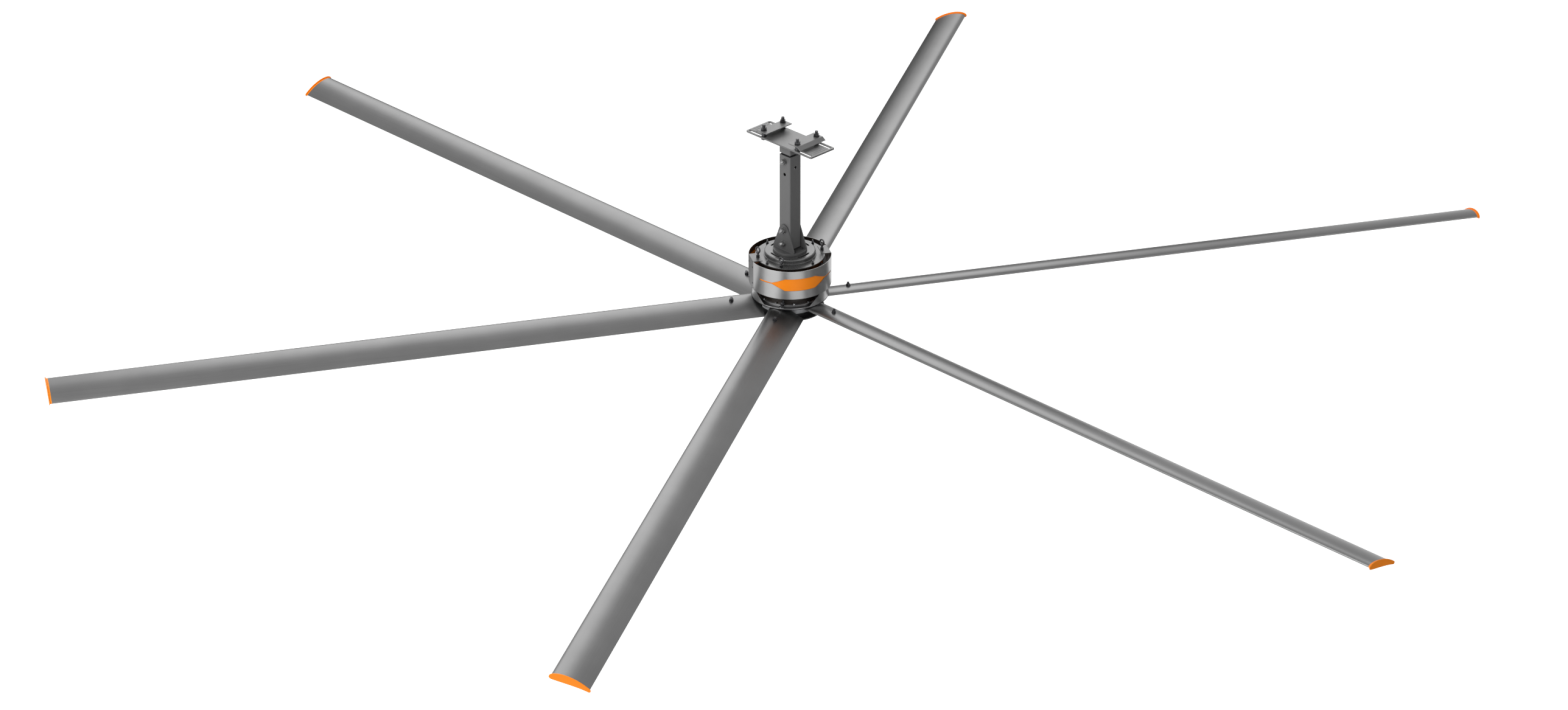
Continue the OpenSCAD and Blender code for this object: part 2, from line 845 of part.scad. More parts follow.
module shroud_half(turn) {
    arc = 180 - bracket_arc;
    color(sheet_silver) rotate([0, 0, turn]) translate([0, 0, shroud_bottom]) difference() {
        union() {
            arc_sheet(shroud_d / 2, shroud_t, shroud_h, arc);
            for (side = [-1, 1]) {
                rotate([0, 0, side * quarter]) translate([
                    bracket_r - bracket_t - shroud_t,
                    side > 0 ? -bracket_half - 2 * tab_over : bracket_half + 2 * tab_over - tab_w,
                    0
                ]) cube([shroud_t, tab_w, shroud_h - 2 * shroud_t]);
            }
        }
        translate([0, 0, badge_up - badge_h / 2]) rotate([quarter, 0, quarter])
            linear_extrude(height = shroud_d) badge_outline();
        for (side = [-1, 1], z = bracket_screw_rows) {
            rotate([0, 0, side * quarter])
                translate([bracket_r, -side * bracket_screw_side, z])
                rotate([0, quarter, 0])
                cylinder(d = sheet_screw_d, h = screw_cut, center = true);
        }
    }
}

module badge_panel(turn) {
    low = shroud_bottom + badge_up - badge_h / 2 - badge_margin;
    color(orange) rotate([0, 0, turn]) translate([0, 0, low])
        arc_sheet(shroud_d / 2 - shroud_t - badge_play, badge_t, badge_h + 2 * badge_margin, badge_arc);
}

module shroud_screws() {
    color(bolt_dark) around([bracket_turn, bracket_turn + 180]) bracket_screw_places()
        screw(sheet_screw_head_d, sheet_screw_head_h, sheet_screw_d, bracket_t + 2 * shroud_t);
}

// Inside of the motor

lower_bearing_z = disc_top + lower_bearing_up;
upper_bearing_z = rotor_top - upper_bearing_down - bearing_h;
stack_z = disc_top + core_up;
magnet_r = drum_d / 2 - drum_wall;
stack_r = magnet_r - magnet_t - air_gap;
shaft_end = lower_bearing_z - nut_ring_h - shaft_past_nut;
boss_outer_d = bearing_d + 2 * boss_wall;

module motor_shaft() {
    color(bolt_bright) difference() {
        union() {
            translate([0, 0, shaft_end]) cylinder(d = shaft_d, h = flange_top + head_t - shaft_end);
            translate([0, 0, flange_top]) cylinder(d = head_d, h = head_t);
            translate([0, 0, flange_top]) cylinder(d = boss_d, h = cap_h - cap_t);
        }
        translate([0, 0, shaft_end - overrun]) cylinder(d = shaft_bore, h = cap_top - shaft_end);
        translate([0, 0, flange_top - overrun]) cap_screw_places()
            cylinder(d = screw_d, h = head_t + 2 * overrun);
        translate([0, 0, cap_top - cap_t - head_t]) base_screw_places()
            cylinder(d = small_bolt_d, h = head_t + overrun);
    }
}

tooth_in = stack_r - slot_depth;
tooth_pitch = 2 * PI * tooth_in / teeth;
tooth_w = tooth_pitch * tooth_share;

// Teeth with parallel sides on a yoke, and a hub plate that seats on the shaft
module stator_core() {
    yoke_in = tooth_in - core_yoke;
    color(lamination) translate([0, 0, stack_z]) {
        ring(2 * tooth_in, 2 * yoke_in, stack_h);
        intersection() {
            cylinder(r = stack_r, h = stack_h);
            for (k = [0 : teeth - 1]) {
                rotate([0, 0, k * 360 / teeth]) translate([tooth_in - overrun, -tooth_w / 2, 0])
                    cube([slot_depth + 2 * overrun, tooth_w, stack_h]);
            }
        }
        difference() {
            translate([0, 0, (stack_h - stator_hub_t) / 2]) cylinder(r = yoke_in + overrun, h = stator_hub_t);
            cylinder(d = shaft_d, h = stack_h);
        }
    }
}

// One coil round each tooth
module stator_windings() {
    coil_w = tooth_pitch - coil_gap;
    coil_l = slot_depth * coil_share;
    color(copper) for (k = [0 : teeth - 1]) {
        rotate([0, 0, k * 360 / teeth]) difference() {
            translate([tooth_in + coil_gap, -coil_w / 2, stack_z - coil_overhang])
                cube([coil_l, coil_w, stack_h + 2 * coil_overhang]);
            translate([tooth_in, -tooth_w / 2 - seat_play, stack_z - seat_play])
                cube([slot_depth, tooth_w + 2 * seat_play, stack_h + 2 * seat_play]);
        }
    }
}

ball_r = (shaft_d + bearing_d) / 4;

// The groove in which a bearing's balls run
module ball_groove(play) {
    translate([0, 0, bearing_h / 2]) rotate_extrude() translate([ball_r, 0])
        circle(d = ball_d + play, $fn = 32);
}

module bearing_inner_rings() {
    color(bolt_bright) for (z = [lower_bearing_z, upper_bearing_z]) {
        translate([0, 0, z]) difference() {
            ring(shaft_d + 2 * ring_t, shaft_d, bearing_h);
            ball_groove(2 * ball_gap);
        }
    }
}

module bearing_outer_rings() {
    color(bolt_bright) for (z = [lower_bearing_z, upper_bearing_z]) {
        translate([0, 0, z]) difference() {
            ring(bearing_d, bearing_d - 2 * ring_t, bearing_h);
            ball_groove(ball_gap);
        }
    }
}

module bearing_balls() {
    color(bolt_bright) for (z = [lower_bearing_z, upper_bearing_z], k = [0 : ball_count - 1]) {
        rotate([0, 0, k * 360 / ball_count]) translate([ball_r, 0, z + bearing_h / 2]) sphere(d = ball_d);
    }
}

module shaft_nut() {
    color(bolt_dark) translate([0, 0, lower_bearing_z - nut_ring_h])
        ring(shaft_d + 2 * ring_t, shaft_d, nut_ring_h);
}

// Rotor

module vent_slots() {
    for (g = [0 : vent_groups - 1], k = [0 : vent_slots - 1]) {
        turn = (g + 1 / 2) * 360 / vent_groups + (k - (vent_slots - 1) / 2) * vent_pitch;
        rotate([0, 0, turn]) translate([shield_d / 2 - vent_ring_wall - overrun, -vent_slot_w / 2, 0])
            cube([vent_ring_wall + 2 * overrun, vent_slot_w, vent_slot_h]);
    }
}

module rotor_top_shield() {
    color(drum_dark) difference() {
        translate([0, 0, rotor_top - shield_t - vent_ring_h]) {
            ring(shield_d, shield_d - 2 * vent_ring_wall, vent_ring_h);
            translate([0, 0, vent_ring_h]) cylinder(d = shield_d, h = shield_t);
            translate([0, 0, vent_ring_h + shield_t - upper_bearing_down - bearing_h])
                cylinder(d = boss_outer_d, h = bearing_h + upper_bearing_down);
        }
        translate([0, 0, upper_bearing_z - overrun]) cylinder(d = bearing_d, h = bearing_h + overrun);
        translate([0, 0, upper_bearing_z]) cylinder(d = shaft_d + 2 * shaft_hole_play, h = rotor_h);
        translate([0, 0, rotor_top - shield_t - (vent_ring_h + vent_slot_h) / 2]) vent_slots();
    }
}

module rotor_drum() {
    wall_h = rotor_h - shield_t - vent_ring_h;
    color(drum_dark) translate([0, 0, disc_top]) difference() {
        union() {
            ring(drum_d, drum_d - 2 * drum_wall, wall_h);
            translate([0, 0, lower_bearing_up - shoulder]) {
                cylinder(d = drum_d - drum_wall, h = web_t);
                cylinder(d = boss_outer_d, h = bearing_h + 2 * shoulder);
            }
        }
        translate([0, 0, lower_bearing_up - shoulder - overrun])
            cylinder(d = bearing_d, h = bearing_h + shoulder + overrun);
        translate([0, 0, lower_bearing_up]) cylinder(d = shaft_d + 2 * ring_t + shaft_hole_play, h = rotor_h);
    }
}

module rotor_magnets() {
    step = 360 / magnet_count;
    color(bolt_bright) for (k = [0 : magnet_count - 1]) {
        rotate([0, 0, k * step]) translate([0, 0, stack_z])
            arc_sheet(magnet_r, magnet_t, stack_h, step * magnet_share);
    }
}

module foot_screw_places() {
    for (turn = blade_turns, more = foot_screw_turns) {
        rotate([0, 0, turn + more]) translate([drum_d / 2 + foot_ring_w / 2, 0, 0]) children();
    }
}

module foot_ring() {
    color(sheet_silver) translate([0, 0, disc_top]) difference() {
        ring(drum_d + 2 * foot_ring_w, drum_d, foot_ring_h);
        translate([0, 0, -overrun]) foot_screw_places()
            cylinder(d = screw_d + bolt_play, h = foot_ring_h + 2 * overrun);
    }
}

module ring_screws() {
    color(bolt_dark) translate([0, 0, disc_top + foot_ring_h]) foot_screw_places()
        screw(screw_head_d, screw_head_h, screw_d, foot_ring_h + disc_t / 2);
}

// Hub

module core_screw_places() {
    around(between_turns) translate([core_screw_r, 0, 0]) children();
}

module hub_disc() {
    color(plate_grey) difference() {
        translate([0, 0, disc_bottom]) ring(disc_d, hub_bore_d, disc_t);
        translate([0, 0, disc_top - disc_t / 2]) foot_screw_places() cylinder(d = screw_d, h = disc_t);
        translate([0, 0, disc_bottom - overrun]) core_screw_places()
            cylinder(d = small_bolt_d + bolt_play, h = disc_t + 2 * overrun);
        for (turn = blade_turns) {
            at_blade(turn) translate([hub_bolt_r, 0, 0])
                cylinder(d = hub_bolt_d + 2 * bolt_play, h = hub_bolt_up);
        }
    }
}

// The skirt is low at the front and back, and rises in a straight slope to its two high sides
module hub_skirt() {
    skirt_d = disc_d - 2 * skirt_inset;
    slope = (skirt_notch_high - skirt_notch_low) / (skirt_h - skirt_lip);
    cut_high = skirt_notch_high + slope * overrun;
    color(sheet_silver) translate([0, 0, disc_top]) difference() {
        ring(skirt_d, skirt_d - 2 * skirt_t, skirt_h);
        rotate([0, 0, skirt_turn]) rotate([quarter, 0, quarter]) translate([0, 0, -disc_d])
            linear_extrude(height = 2 * disc_d) polygon([
                [-skirt_notch_low, skirt_lip],
                [skirt_notch_low, skirt_lip],
                [cut_high, skirt_h + overrun],
                [-cut_high, skirt_h + overrun]
            ]);
    }
}

module hub_core() {
    color(sheet_silver) difference() {
        translate([0, 0, hub_core_bottom]) ring(hub_core_d, hub_core_d - 2 * core_wall, hub_core_h);
        for (turn = blade_turns) {
            at_blade(turn) translate([0, -spar_w / 2 - socket_play, -spar_h / 2 - socket_play])
                cube([hub_core_d, spar_w + 2 * socket_play, spar_h + 2 * socket_play]);
        }
        translate([0, 0, disc_bottom - hub_core_h / 2]) core_screw_places()
            cylinder(d = small_bolt_d, h = hub_core_h);
        translate([0, 0, hub_core_bottom - overrun]) around(between_turns)
            translate([cover_screw_r, 0, 0]) cylinder(d = sheet_screw_d, h = screw_in + overrun);
    }
}

module core_screws() {
    color(bolt_dark) translate([0, 0, disc_top]) core_screw_places()
        screw(nut_across_share * small_bolt_d, screw_head_h, small_bolt_d, disc_t + hub_core_h / 2);
}

module blade_spars() {
    start = hub_core_d / 2 - core_wall + spar_in;
    color(plate_grey) for (turn = blade_turns) {
        at_blade(turn) difference() {
            translate([start, -spar_w / 2, -spar_h / 2]) cube([spar_out_r - start, spar_w, spar_h]);
            for (r = [hub_bolt_r, blade_bolt_r]) {
                translate([r, 0, -blade_h]) cylinder(d = hub_bolt_d + 2 * bolt_play, h = 2 * blade_h);
            }
        }
    }
}

// A hub bolt, square to the blade: head under the blade, a taper washer on the disc, two nuts above
module hub_bolts() {
    color(bolt_dark) for (turn = blade_turns) {
        at_blade(turn) translate([hub_bolt_r, 0, head_seat])
            bolt(hub_bolt_d, 0, hub_bolt_up - head_seat - nut_h_share * hub_bolt_d);
        at_blade(turn) translate([hub_bolt_r, 0, 0]) {
            translate([0, 0, washer_top + thread_play]) nut(hub_bolt_d);
            translate([0, 0, hub_jam_up]) nut(hub_bolt_d);
        }
        difference() {
            at_blade(turn) translate([hub_bolt_r, 0, 0])
                ring(nut_across_share * hub_bolt_d, hub_bolt_d + 2 * thread_play, washer_top);
            translate([0, 0, cover_bottom]) cylinder(d = disc_d, h = disc_top - cover_bottom);
        }
    }
}

module bottom_cover() {
    color(cover_black) translate([0, 0, cover_bottom]) difference() {
        union() {
            cylinder(d = cover_d - 2 * cover_rim_w, h = cover_plate_t);
            cylinder(d = cover_wall_d, h = cover_h);
        }
        translate([0, 0, cover_plate_t])
            cylinder(d = 2 * cover_screw_r - screw_head_d, h = cover_h);
        around(between_turns) translate([cover_screw_r, 0, -overrun]) {
            cylinder(d = sheet_screw_d + bolt_play, h = cover_h + 2 * overrun);
        }
    }
}

module cover_rim() {
    color(plate_grey) translate([0, 0, cover_bottom]) ring(cover_d, cover_d - 2 * cover_rim_w, cover_rim_h);
}

module cover_screws() {
    color(bolt_dark) around(between_turns) translate([cover_screw_r, 0, cover_bottom])
        rotate([180, 0, 0]) screw(sheet_screw_head_d, sheet_screw_head_h, sheet_screw_d, cover_h + screw_in);
}

// Blades

// A hollow of the blade between two places on the chord
function stations(from, to) = [for (k = [0 : cavity_steps]) (from + (to - from) * k / cavity_steps) / chord];

module cavity(from, to) {
    polygon(across(concat(
        [for (u = stations(from, to)) [u * chord, top_y(u) - blade_wall]],
        [for (u = stations(to, from)) [u * chord, under_y(u) + blade_wall]]
    )));
}

spar_box = spar_w / 2 + seat_play;
plug_half = spar_box - plug_play;

module blade_section() {
    difference() {
        polygon(across(blade_outline));
        cavity(te_solid, spar_x - spar_box - web);
        cavity(spar_x - spar_box, spar_x + spar_box);
        cavity(spar_x + spar_box + web, chord - nose_solid);
    }
}

module blade(i) {
    color(blade_silver) at_blade(blade_turns[i]) difference() {
        along_blade(root_r, blade_end - root_r) blade_section();
        for (r = [hub_bolt_r, blade_bolt_r]) {
            translate([r, 0, -blade_h]) cylinder(d = hub_bolt_d + 2 * bolt_play, h = 2 * blade_h);
        }
    }
}

// A blade bolt, square to the blade: head below, washer and nut on the crest
module blade_bolts() {
    color(bolt_dark) for (turn = blade_turns) {
        at_blade(turn) translate([blade_bolt_r, 0, 0]) {
            translate([0, 0, head_seat])
                bolt(blade_bolt_d, washer_seat - head_seat, thread_end_share * blade_bolt_d);
            washer_and_nut(blade_bolt_d, washer_seat);
        }
    }
}

// The plate stands proud of the blade all round, the collar is flush and the plugs fill the hollows
module end_cap(i) {
    color(orange) at_blade(blade_turns[i]) {
        along_blade(tip_r - cap_plate_t, cap_plate_t) polygon(across(grown(blade_outline, cap_proud)));
        along_blade(blade_end, collar_l + overrun) polygon(across(blade_outline));
        along_blade(blade_end - plug_l, plug_l + overrun) intersection() {
            polygon(across(grown(blade_outline, -blade_wall - plug_play)));
            translate([-plug_half, -blade_h]) square([2 * plug_half, 2 * blade_h]);
        }
    }
}

mount_plate();
stub_tube();
coupling_tube();
rod_bolt();
clamp_plate(0);  // clamp_plate_a
clamp_bolts(0);  // clamp_bolts_a
clamp_spacers(0);  // clamp_spacers_a
clamp_plate(180);  // clamp_plate_b
clamp_bolts(180);  // clamp_bolts_b
clamp_spacers(180);  // clamp_spacers_b
downrod();
clevis_bracket();
clevis_bolts();
base_screws();
stator_cap();
cap_screws();
stator_flange();
flange_bolts();
eye_bolts();
shroud_bracket(bracket_turn);  // shroud_bracket_a
shroud_bracket(bracket_turn + 180);  // shroud_bracket_b
shroud_half(badge_turn);  // shroud_front
shroud_half(badge_turn + 180);  // shroud_rear
badge_panel(badge_turn);  // badge_front
badge_panel(badge_turn + 180);  // badge_rear
shroud_screws();
motor_shaft();
stator_core();
stator_windings();
bearing_inner_rings();
shaft_nut();
rotor_top_shield();
rotor_drum();
rotor_magnets();
bearing_outer_rings();
bearing_balls();
foot_ring();
ring_screws();
hub_disc();
hub_skirt();
hub_core();
core_screws();
blade_spars();
hub_bolts();
bottom_cover();
cover_rim();
cover_screws();
blade_bolts();
blade(0);  // blade_1
blade(1);  // blade_2
blade(2);  // blade_3
blade(3);  // blade_4
blade(4);  // blade_5
blade(5);  // blade_6
end_cap(0);  // end_cap_1
end_cap(1);  // end_cap_2
end_cap(2);  // end_cap_3
end_cap(3);  // end_cap_4
end_cap(4);  // end_cap_5
end_cap(5);  // end_cap_6
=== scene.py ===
"""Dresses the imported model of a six-blade industrial ceiling fan and sets it on a plain stage."""

import math

import bmesh
import bpy
from bpy.props import FloatProperty, FloatVectorProperty, IntProperty, PointerProperty
from mathutils import Matrix, Vector


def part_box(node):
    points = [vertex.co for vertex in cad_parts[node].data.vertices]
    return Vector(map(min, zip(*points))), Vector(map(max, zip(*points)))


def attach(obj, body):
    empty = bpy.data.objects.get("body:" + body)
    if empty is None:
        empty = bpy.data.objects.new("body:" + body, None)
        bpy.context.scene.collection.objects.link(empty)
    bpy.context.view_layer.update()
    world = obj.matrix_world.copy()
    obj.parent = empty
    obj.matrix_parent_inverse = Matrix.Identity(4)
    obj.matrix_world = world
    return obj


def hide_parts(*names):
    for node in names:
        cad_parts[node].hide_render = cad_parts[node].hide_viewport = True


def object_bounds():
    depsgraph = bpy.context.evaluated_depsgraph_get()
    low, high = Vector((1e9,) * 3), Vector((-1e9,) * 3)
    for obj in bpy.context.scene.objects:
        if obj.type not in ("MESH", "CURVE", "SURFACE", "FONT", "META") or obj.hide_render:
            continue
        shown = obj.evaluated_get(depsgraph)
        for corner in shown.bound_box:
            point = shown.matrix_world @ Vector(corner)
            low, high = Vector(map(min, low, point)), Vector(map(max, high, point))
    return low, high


bl_info = {
    "name": "Industrial Ceiling Fan",
    "version": (1, 0, 0),
    "blender": (4, 5, 0),
    "location": "3D View > Sidebar > Ceiling Fan",
    "description": "Dresses a packed ceiling fan with finished pieces and sets it on a plain stage",
    "category": "Object",
}

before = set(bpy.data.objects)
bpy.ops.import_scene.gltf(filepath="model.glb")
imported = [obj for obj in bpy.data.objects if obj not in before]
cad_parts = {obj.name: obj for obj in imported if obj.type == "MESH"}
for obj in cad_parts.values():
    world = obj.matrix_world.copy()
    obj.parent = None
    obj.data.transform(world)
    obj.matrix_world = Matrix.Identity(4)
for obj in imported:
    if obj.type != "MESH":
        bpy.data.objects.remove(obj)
cad_low, cad_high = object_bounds()

MM = 0.001
BLADE_TURNS = [60 * k for k in range(6)]
BETWEEN_TURNS = [turn + 30 for turn in BLADE_TURNS]
QUARTERS = [0, 90, 180, 270]


def low(name):
    """Lowest corner of a node of the frame, in mm."""
    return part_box(name)[0] / MM


def high(name):
    """Highest corner of a node of the frame, in mm."""
    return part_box(name)[1] / MM


def levels(name):
    """Heights of a node's foot and top, in mm."""
    return low(name).z, high(name).z


def middle_z(name):
    return ((low(name) + high(name)) / 2).z


# Levels and places that come from the frame, in mm
BOLT_Z = middle_z("rod_bolt")
ROD_FOOT, ROD_TOP = levels("downrod")
CAP_FOOT, CAP_TOP = levels("stator_cap")
FLANGE_FOOT, FLANGE_TOP = levels("stator_flange")
DISC_FOOT, DISC_TOP = levels("hub_disc")
SHROUD_FOOT, SHROUD_TOP = levels("shroud_front")
CORE_FOOT = low("hub_core").z
COVER_FOOT = low("bottom_cover").z
SPAR_Z = middle_z("blade_spars")
ROOT_R = low("blade_1").x
TIP_R = high("end_cap_1").x

# Sizes that several pieces share, as the frame's source has them, in mm
PLATE_T = 8
CLAMP_X, CLAMP_Y, CLAMP_TOP = 115, 65, 31
SLOT_W = 17
TUBE_HALF, COUPLING_HALF, TUBE_WALL = 38, 30, 5
CLEVIS_HALF, CHEEK_T = 45, 6
CLEVIS_BOLT_Z = [ROD_FOOT + 30, ROD_FOOT + 100]
BASE_TOP = ROD_FOOT - 6
ROD_BOLT_D, BLADE_BOLT_D = 16, 12
ROD_BORE, BLADE_BORE = 16.1, 13
HUB_BOLT_R, BLADE_BOLT_R = 178, 300
BORE_R, BOSS_R = 55, 68
SHROUD_R = 205
BRACKET_TURNS = {"a": 60, "b": 240}
FACE_X = SHROUD_R * math.cos(math.radians(13.5))
FACE_HALF = SHROUD_R * math.sin(math.radians(13.5))


# ---- sizes and colours a user would change ----


class FanSizes(bpy.types.PropertyGroup):
    """Sizes of the details that the frame doesn't give."""

    cap_plate: FloatProperty(
        name="End cap plate", description="Thickness of an end cap's outer plate",
        default=0.004, min=0.002, max=0.008, subtype="DISTANCE", unit="LENGTH")
    cap_proud: FloatProperty(
        name="End cap overhang", description="How far an end cap's plate stands past the blade",
        default=0.0064, min=0.002, max=0.008, subtype="DISTANCE", unit="LENGTH")
    collar: FloatProperty(
        name="End cap collar", description="Length of an end cap's collar, flush with the blade",
        default=0.009, min=0.004, max=0.012, subtype="DISTANCE", unit="LENGTH")
    weld: FloatProperty(
        name="Weld bead", description="Size of the weld beads",
        default=0.0015, min=0.001, max=0.006, subtype="DISTANCE", unit="LENGTH")
    pitch: FloatProperty(
        name="Blade pitch", description="Angle of the blades, as the frame has it",
        default=math.radians(13.8), min=0.1, max=0.3, subtype="ANGLE", unit="ROTATION")
    round_steps: IntProperty(
        name="Round steps", description="Faces round a turned piece", default=128, min=48, max=256)
    floor_drop: FloatProperty(
        name="Floor", description="Distance from the fan's lowest point down to the floor",
        default=3.0, min=1.0, max=6.0, subtype="DISTANCE", unit="LENGTH")


def colour_of(hex_code):
    """An sRGB hex colour as linear light."""
    parts = [int(hex_code[k:k + 2], 16) / 255 for k in (1, 3, 5)]
    return [c / 12.92 if c <= 0.04045 else ((c + 0.055) / 1.055) ** 2.4 for c in parts]


def colour_prop(name, what, hex_code):
    return FloatVectorProperty(
        name=name, description=what, default=colour_of(hex_code), size=3, min=0, max=1,
        subtype="COLOR")


class FanColours(bpy.types.PropertyGroup):
    """Colours of the finishes."""

    blade: colour_prop("Blades", "Anodised aluminium of the blades", "#707070")
    orange: colour_prop("Orange", "Moulded end caps and badge panels", "#ff8c0a")
    rod: colour_prop("Downrod", "Powder coat of the downrod and clevis", "#666666")
    plate: colour_prop("Plate", "Grey enamel of the plates", "#6c6c6c")
    sheet: colour_prop("Sheet", "Brushed sheet of the shroud", "#9c9c9c")
    bolt: colour_prop("Bolts", "Blackened steel of the bolts", "#4e4e50")
    bright: colour_prop("Bright steel", "Zinc-plated washers and screws", "#b9bbbd")
    drum: colour_prop("Drum", "Paint of the motor's drum", "#241d18")


def sizes():
    return bpy.context.scene.fan_sizes


def colours():
    return bpy.context.scene.fan_colours


# ---- modelling helpers; lengths are in mm, but these two thresholds are in metres ----

SAME_PLACE = 1e-6
CUT_SEAM = 2e-6


def clear_selection():
    if bpy.context.mode != "OBJECT":
        bpy.ops.object.mode_set(mode="OBJECT")
    bpy.ops.object.select_all(action="DESELECT")


def choose(*pieces):
    clear_selection()
    for piece in pieces:
        piece.select_set(True)
    bpy.context.view_layer.objects.active = pieces[0]


def open_mesh(piece, kind="VERT", action="SELECT"):
    choose(piece)
    bpy.ops.object.mode_set(mode="EDIT")
    bpy.ops.mesh.select_mode(type=kind)
    bpy.ops.mesh.select_all(action=action)
    return bmesh.from_edit_mesh(piece.data)


def close_mesh():
    """Turns every face outwards and leaves edit mode."""
    bpy.ops.mesh.select_all(action="SELECT")
    bpy.ops.mesh.normals_make_consistent(inside=False)
    bpy.ops.object.mode_set(mode="OBJECT")


def settle(piece):
    """Moves the piece's place into its mesh."""
    choose(piece)
    bpy.ops.object.transform_apply(location=True, rotation=True, scale=True)
    return piece


def placed(piece, place, name=None):
    """Puts the piece in its place and gives it its name."""
    piece.matrix_world = place
    piece.name = name or piece.name
    return settle(piece)


def twin(piece):
    """A copy of the piece with its own mesh."""
    copy = piece.copy()
    copy.data = piece.data.copy()
    bpy.context.scene.collection.objects.link(copy)
    return copy


def joined(name, parts):
    """Several pieces as one."""
    choose(*parts)
    if len(parts) > 1:
        bpy.ops.object.join()
    piece = bpy.context.object
    piece.name = name
    return piece


def copies(master, places, name):
    """Copies of the master at each place, as one piece."""
    made = [placed(twin(master), place) for place in places]
    bpy.data.objects.remove(master)
    return joined(name, made)


def loop_piece(name, points, fill="NOTHING"):
    """A circle primitive whose vertices take the points of an outline."""
    clear_selection()
    bpy.ops.mesh.primitive_circle_add(vertices=len(points), fill_type=fill)
    piece = bpy.context.object
    piece.name = name
    for vertex, point in zip(piece.data.vertices, points):
        vertex.co = Vector(point) * MM
    return piece


def spun(piece, steps, angle):
    """Spins the piece's outline about Z and welds its seams."""
    open_mesh(piece)
    bpy.ops.mesh.spin(steps=steps, angle=angle, axis=(0, 0, 1), center=(0, 0, 0))
    bpy.ops.mesh.select_all(action="SELECT")
    bpy.ops.mesh.remove_doubles(threshold=SAME_PLACE)
    bpy.ops.mesh.delete_loose()
    close_mesh()
    return piece


def turned(name, profile, steps=None):
    """A profile of (radius, height) points, spun a full turn about Z."""
    piece = loop_piece(name, [(r, 0, z) for r, z in profile])
    return spun(piece, steps or sizes().round_steps, math.tau)


def part_turned(name, profile, start, arc, steps):
    """A profile of (radius, height) points, spun from the angle start through arc degrees."""
    a = math.radians(start)
    points = [(r * math.cos(a), r * math.sin(a), z) for r, z in profile]
    return spun(loop_piece(name, points, fill="NGON"), steps, -math.radians(arc))


def ring(name, radius_in, radius_out, foot, top, ease_by, steps=None, corner_steps=3):
    """A turned ring with rounded edges."""
    profile = rounded_profile(radius_in, radius_out, foot, top, ease_by, corner_steps)
    return turned(name, profile, steps)


def extruded(name, outline, pushes, holes=()):
    """A flat outline, less its holes, pushed along each of the given steps in turn."""
    piece = loop_piece(name, outline, fill="NOTHING" if holes else "NGON")
    if holes:
        piece = joined(name, [piece] + [loop_piece("hole", hole) for hole in holes])
    open_mesh(piece)
    if holes:
        bpy.ops.mesh.fill()
    for push in pushes:
        bpy.ops.mesh.extrude_region_move(TRANSFORM_OT_translate={"value": Vector(push) * MM})
    close_mesh()
    return piece


def prism(name, outline, foot, height, holes=()):
    """An outline of (x, y) points, less its holes, raised from foot by height."""
    lifted = [[(x, y, foot) for x, y in points] for points in (outline, *holes)]
    return extruded(name, lifted[0], [(0, 0, height)], lifted[1:])


def run_x(name, section, start, length):
    """A section of (y, z) points that runs along X."""
    return extruded(name, [(start, y, z) for y, z in section], [(length, 0, 0)])


def run_y(name, section, start, length):
    """A section of (x, z) points that runs along Y."""
    return extruded(name, [(x, start, z) for x, z in section], [(0, length, 0)])


def square_tube(name, half, foot, top):
    """An upright square tube with rounded corners."""
    bore = half - TUBE_WALL
    return prism(name, rounded_box(half, half, 6), foot, top - foot, [rounded_box(bore, bore, 2)])


def lofted(name, loops):
    """Loops with equal numbers of points, skinned in turn, with both ends closed."""
    piece = loop_piece(name, loops[0], fill="NGON")
    open_mesh(piece)
    for now, after in zip(loops, loops[1:]):
        bpy.ops.mesh.extrude_region_move()
        places = [Vector(p) * MM for p in now]
        for vertex in bmesh.from_edit_mesh(piece.data).verts:
            if vertex.select:
                gaps = [(vertex.co - p).length for p in places]
                vertex.co = Vector(after[gaps.index(min(gaps))]) * MM
        bmesh.update_edit_mesh(piece.data)
    close_mesh()
    return piece


def round_bar(diameter, start, end, steps=32):
    """A round bar between two points."""
    clear_selection()
    start, end = Vector(start), Vector(end)
    run = end - start
    bpy.ops.mesh.primitive_cylinder_add(
        vertices=steps, radius=diameter / 2 * MM, depth=run.length * MM,
        location=(start + end) / 2 * MM, rotation=run.to_track_quat("Z", "Y").to_euler())
    return settle(bpy.context.object)


def bore_y(diameter, z):
    """A cutter for a hole along Y through the rod and the clevis."""
    return round_bar(diameter, (0, -60, z), (0, 60, z), 40)


def blade_bores(steps=32):
    """Cutters for the two bolt holes of a blade and its spar."""
    return [round_bar(BLADE_BORE, (r, 0, -30), (r, 0, 30), steps)
            for r in (HUB_BOLT_R, BLADE_BOLT_R)]


def modified(piece, kind, **settings):
    """Applies one modifier to the piece."""
    choose(piece)
    modifier = piece.modifiers.new("step", kind)
    for key, value in settings.items():
        setattr(modifier, key, value)
    bpy.ops.object.modifier_apply(modifier=modifier.name)
    return piece


def cut(piece, *cutters):
    """Takes the cutters, which don't touch each other, out of the piece."""
    cutter = joined("cutter", list(cutters))
    modified(piece, "BOOLEAN", operation="DIFFERENCE", object=cutter, solver="EXACT")
    bpy.data.objects.remove(cutter)
    open_mesh(piece)
    bpy.ops.mesh.remove_doubles(threshold=CUT_SEAM)
    bpy.ops.mesh.dissolve_degenerate(threshold=SAME_PLACE)
    close_mesh()
    return piece


def ease(piece, width, segments=2):
    """Rounds the sharp edges."""
    return modified(
        piece, "BEVEL", width=width * MM, segments=segments, limit_method="ANGLE",
        angle_limit=math.radians(32), use_clamp_overlap=True)


def at(x=0, y=0, z=0):
    return Matrix.Translation(Vector((x, y, z)) * MM)


def turn_x(degrees):
    return Matrix.Rotation(math.radians(degrees), 4, "X")


def turn_y(degrees):
    return Matrix.Rotation(math.radians(degrees), 4, "Y")


def turn_z(degrees):
    return Matrix.Rotation(math.radians(degrees), 4, "Z")


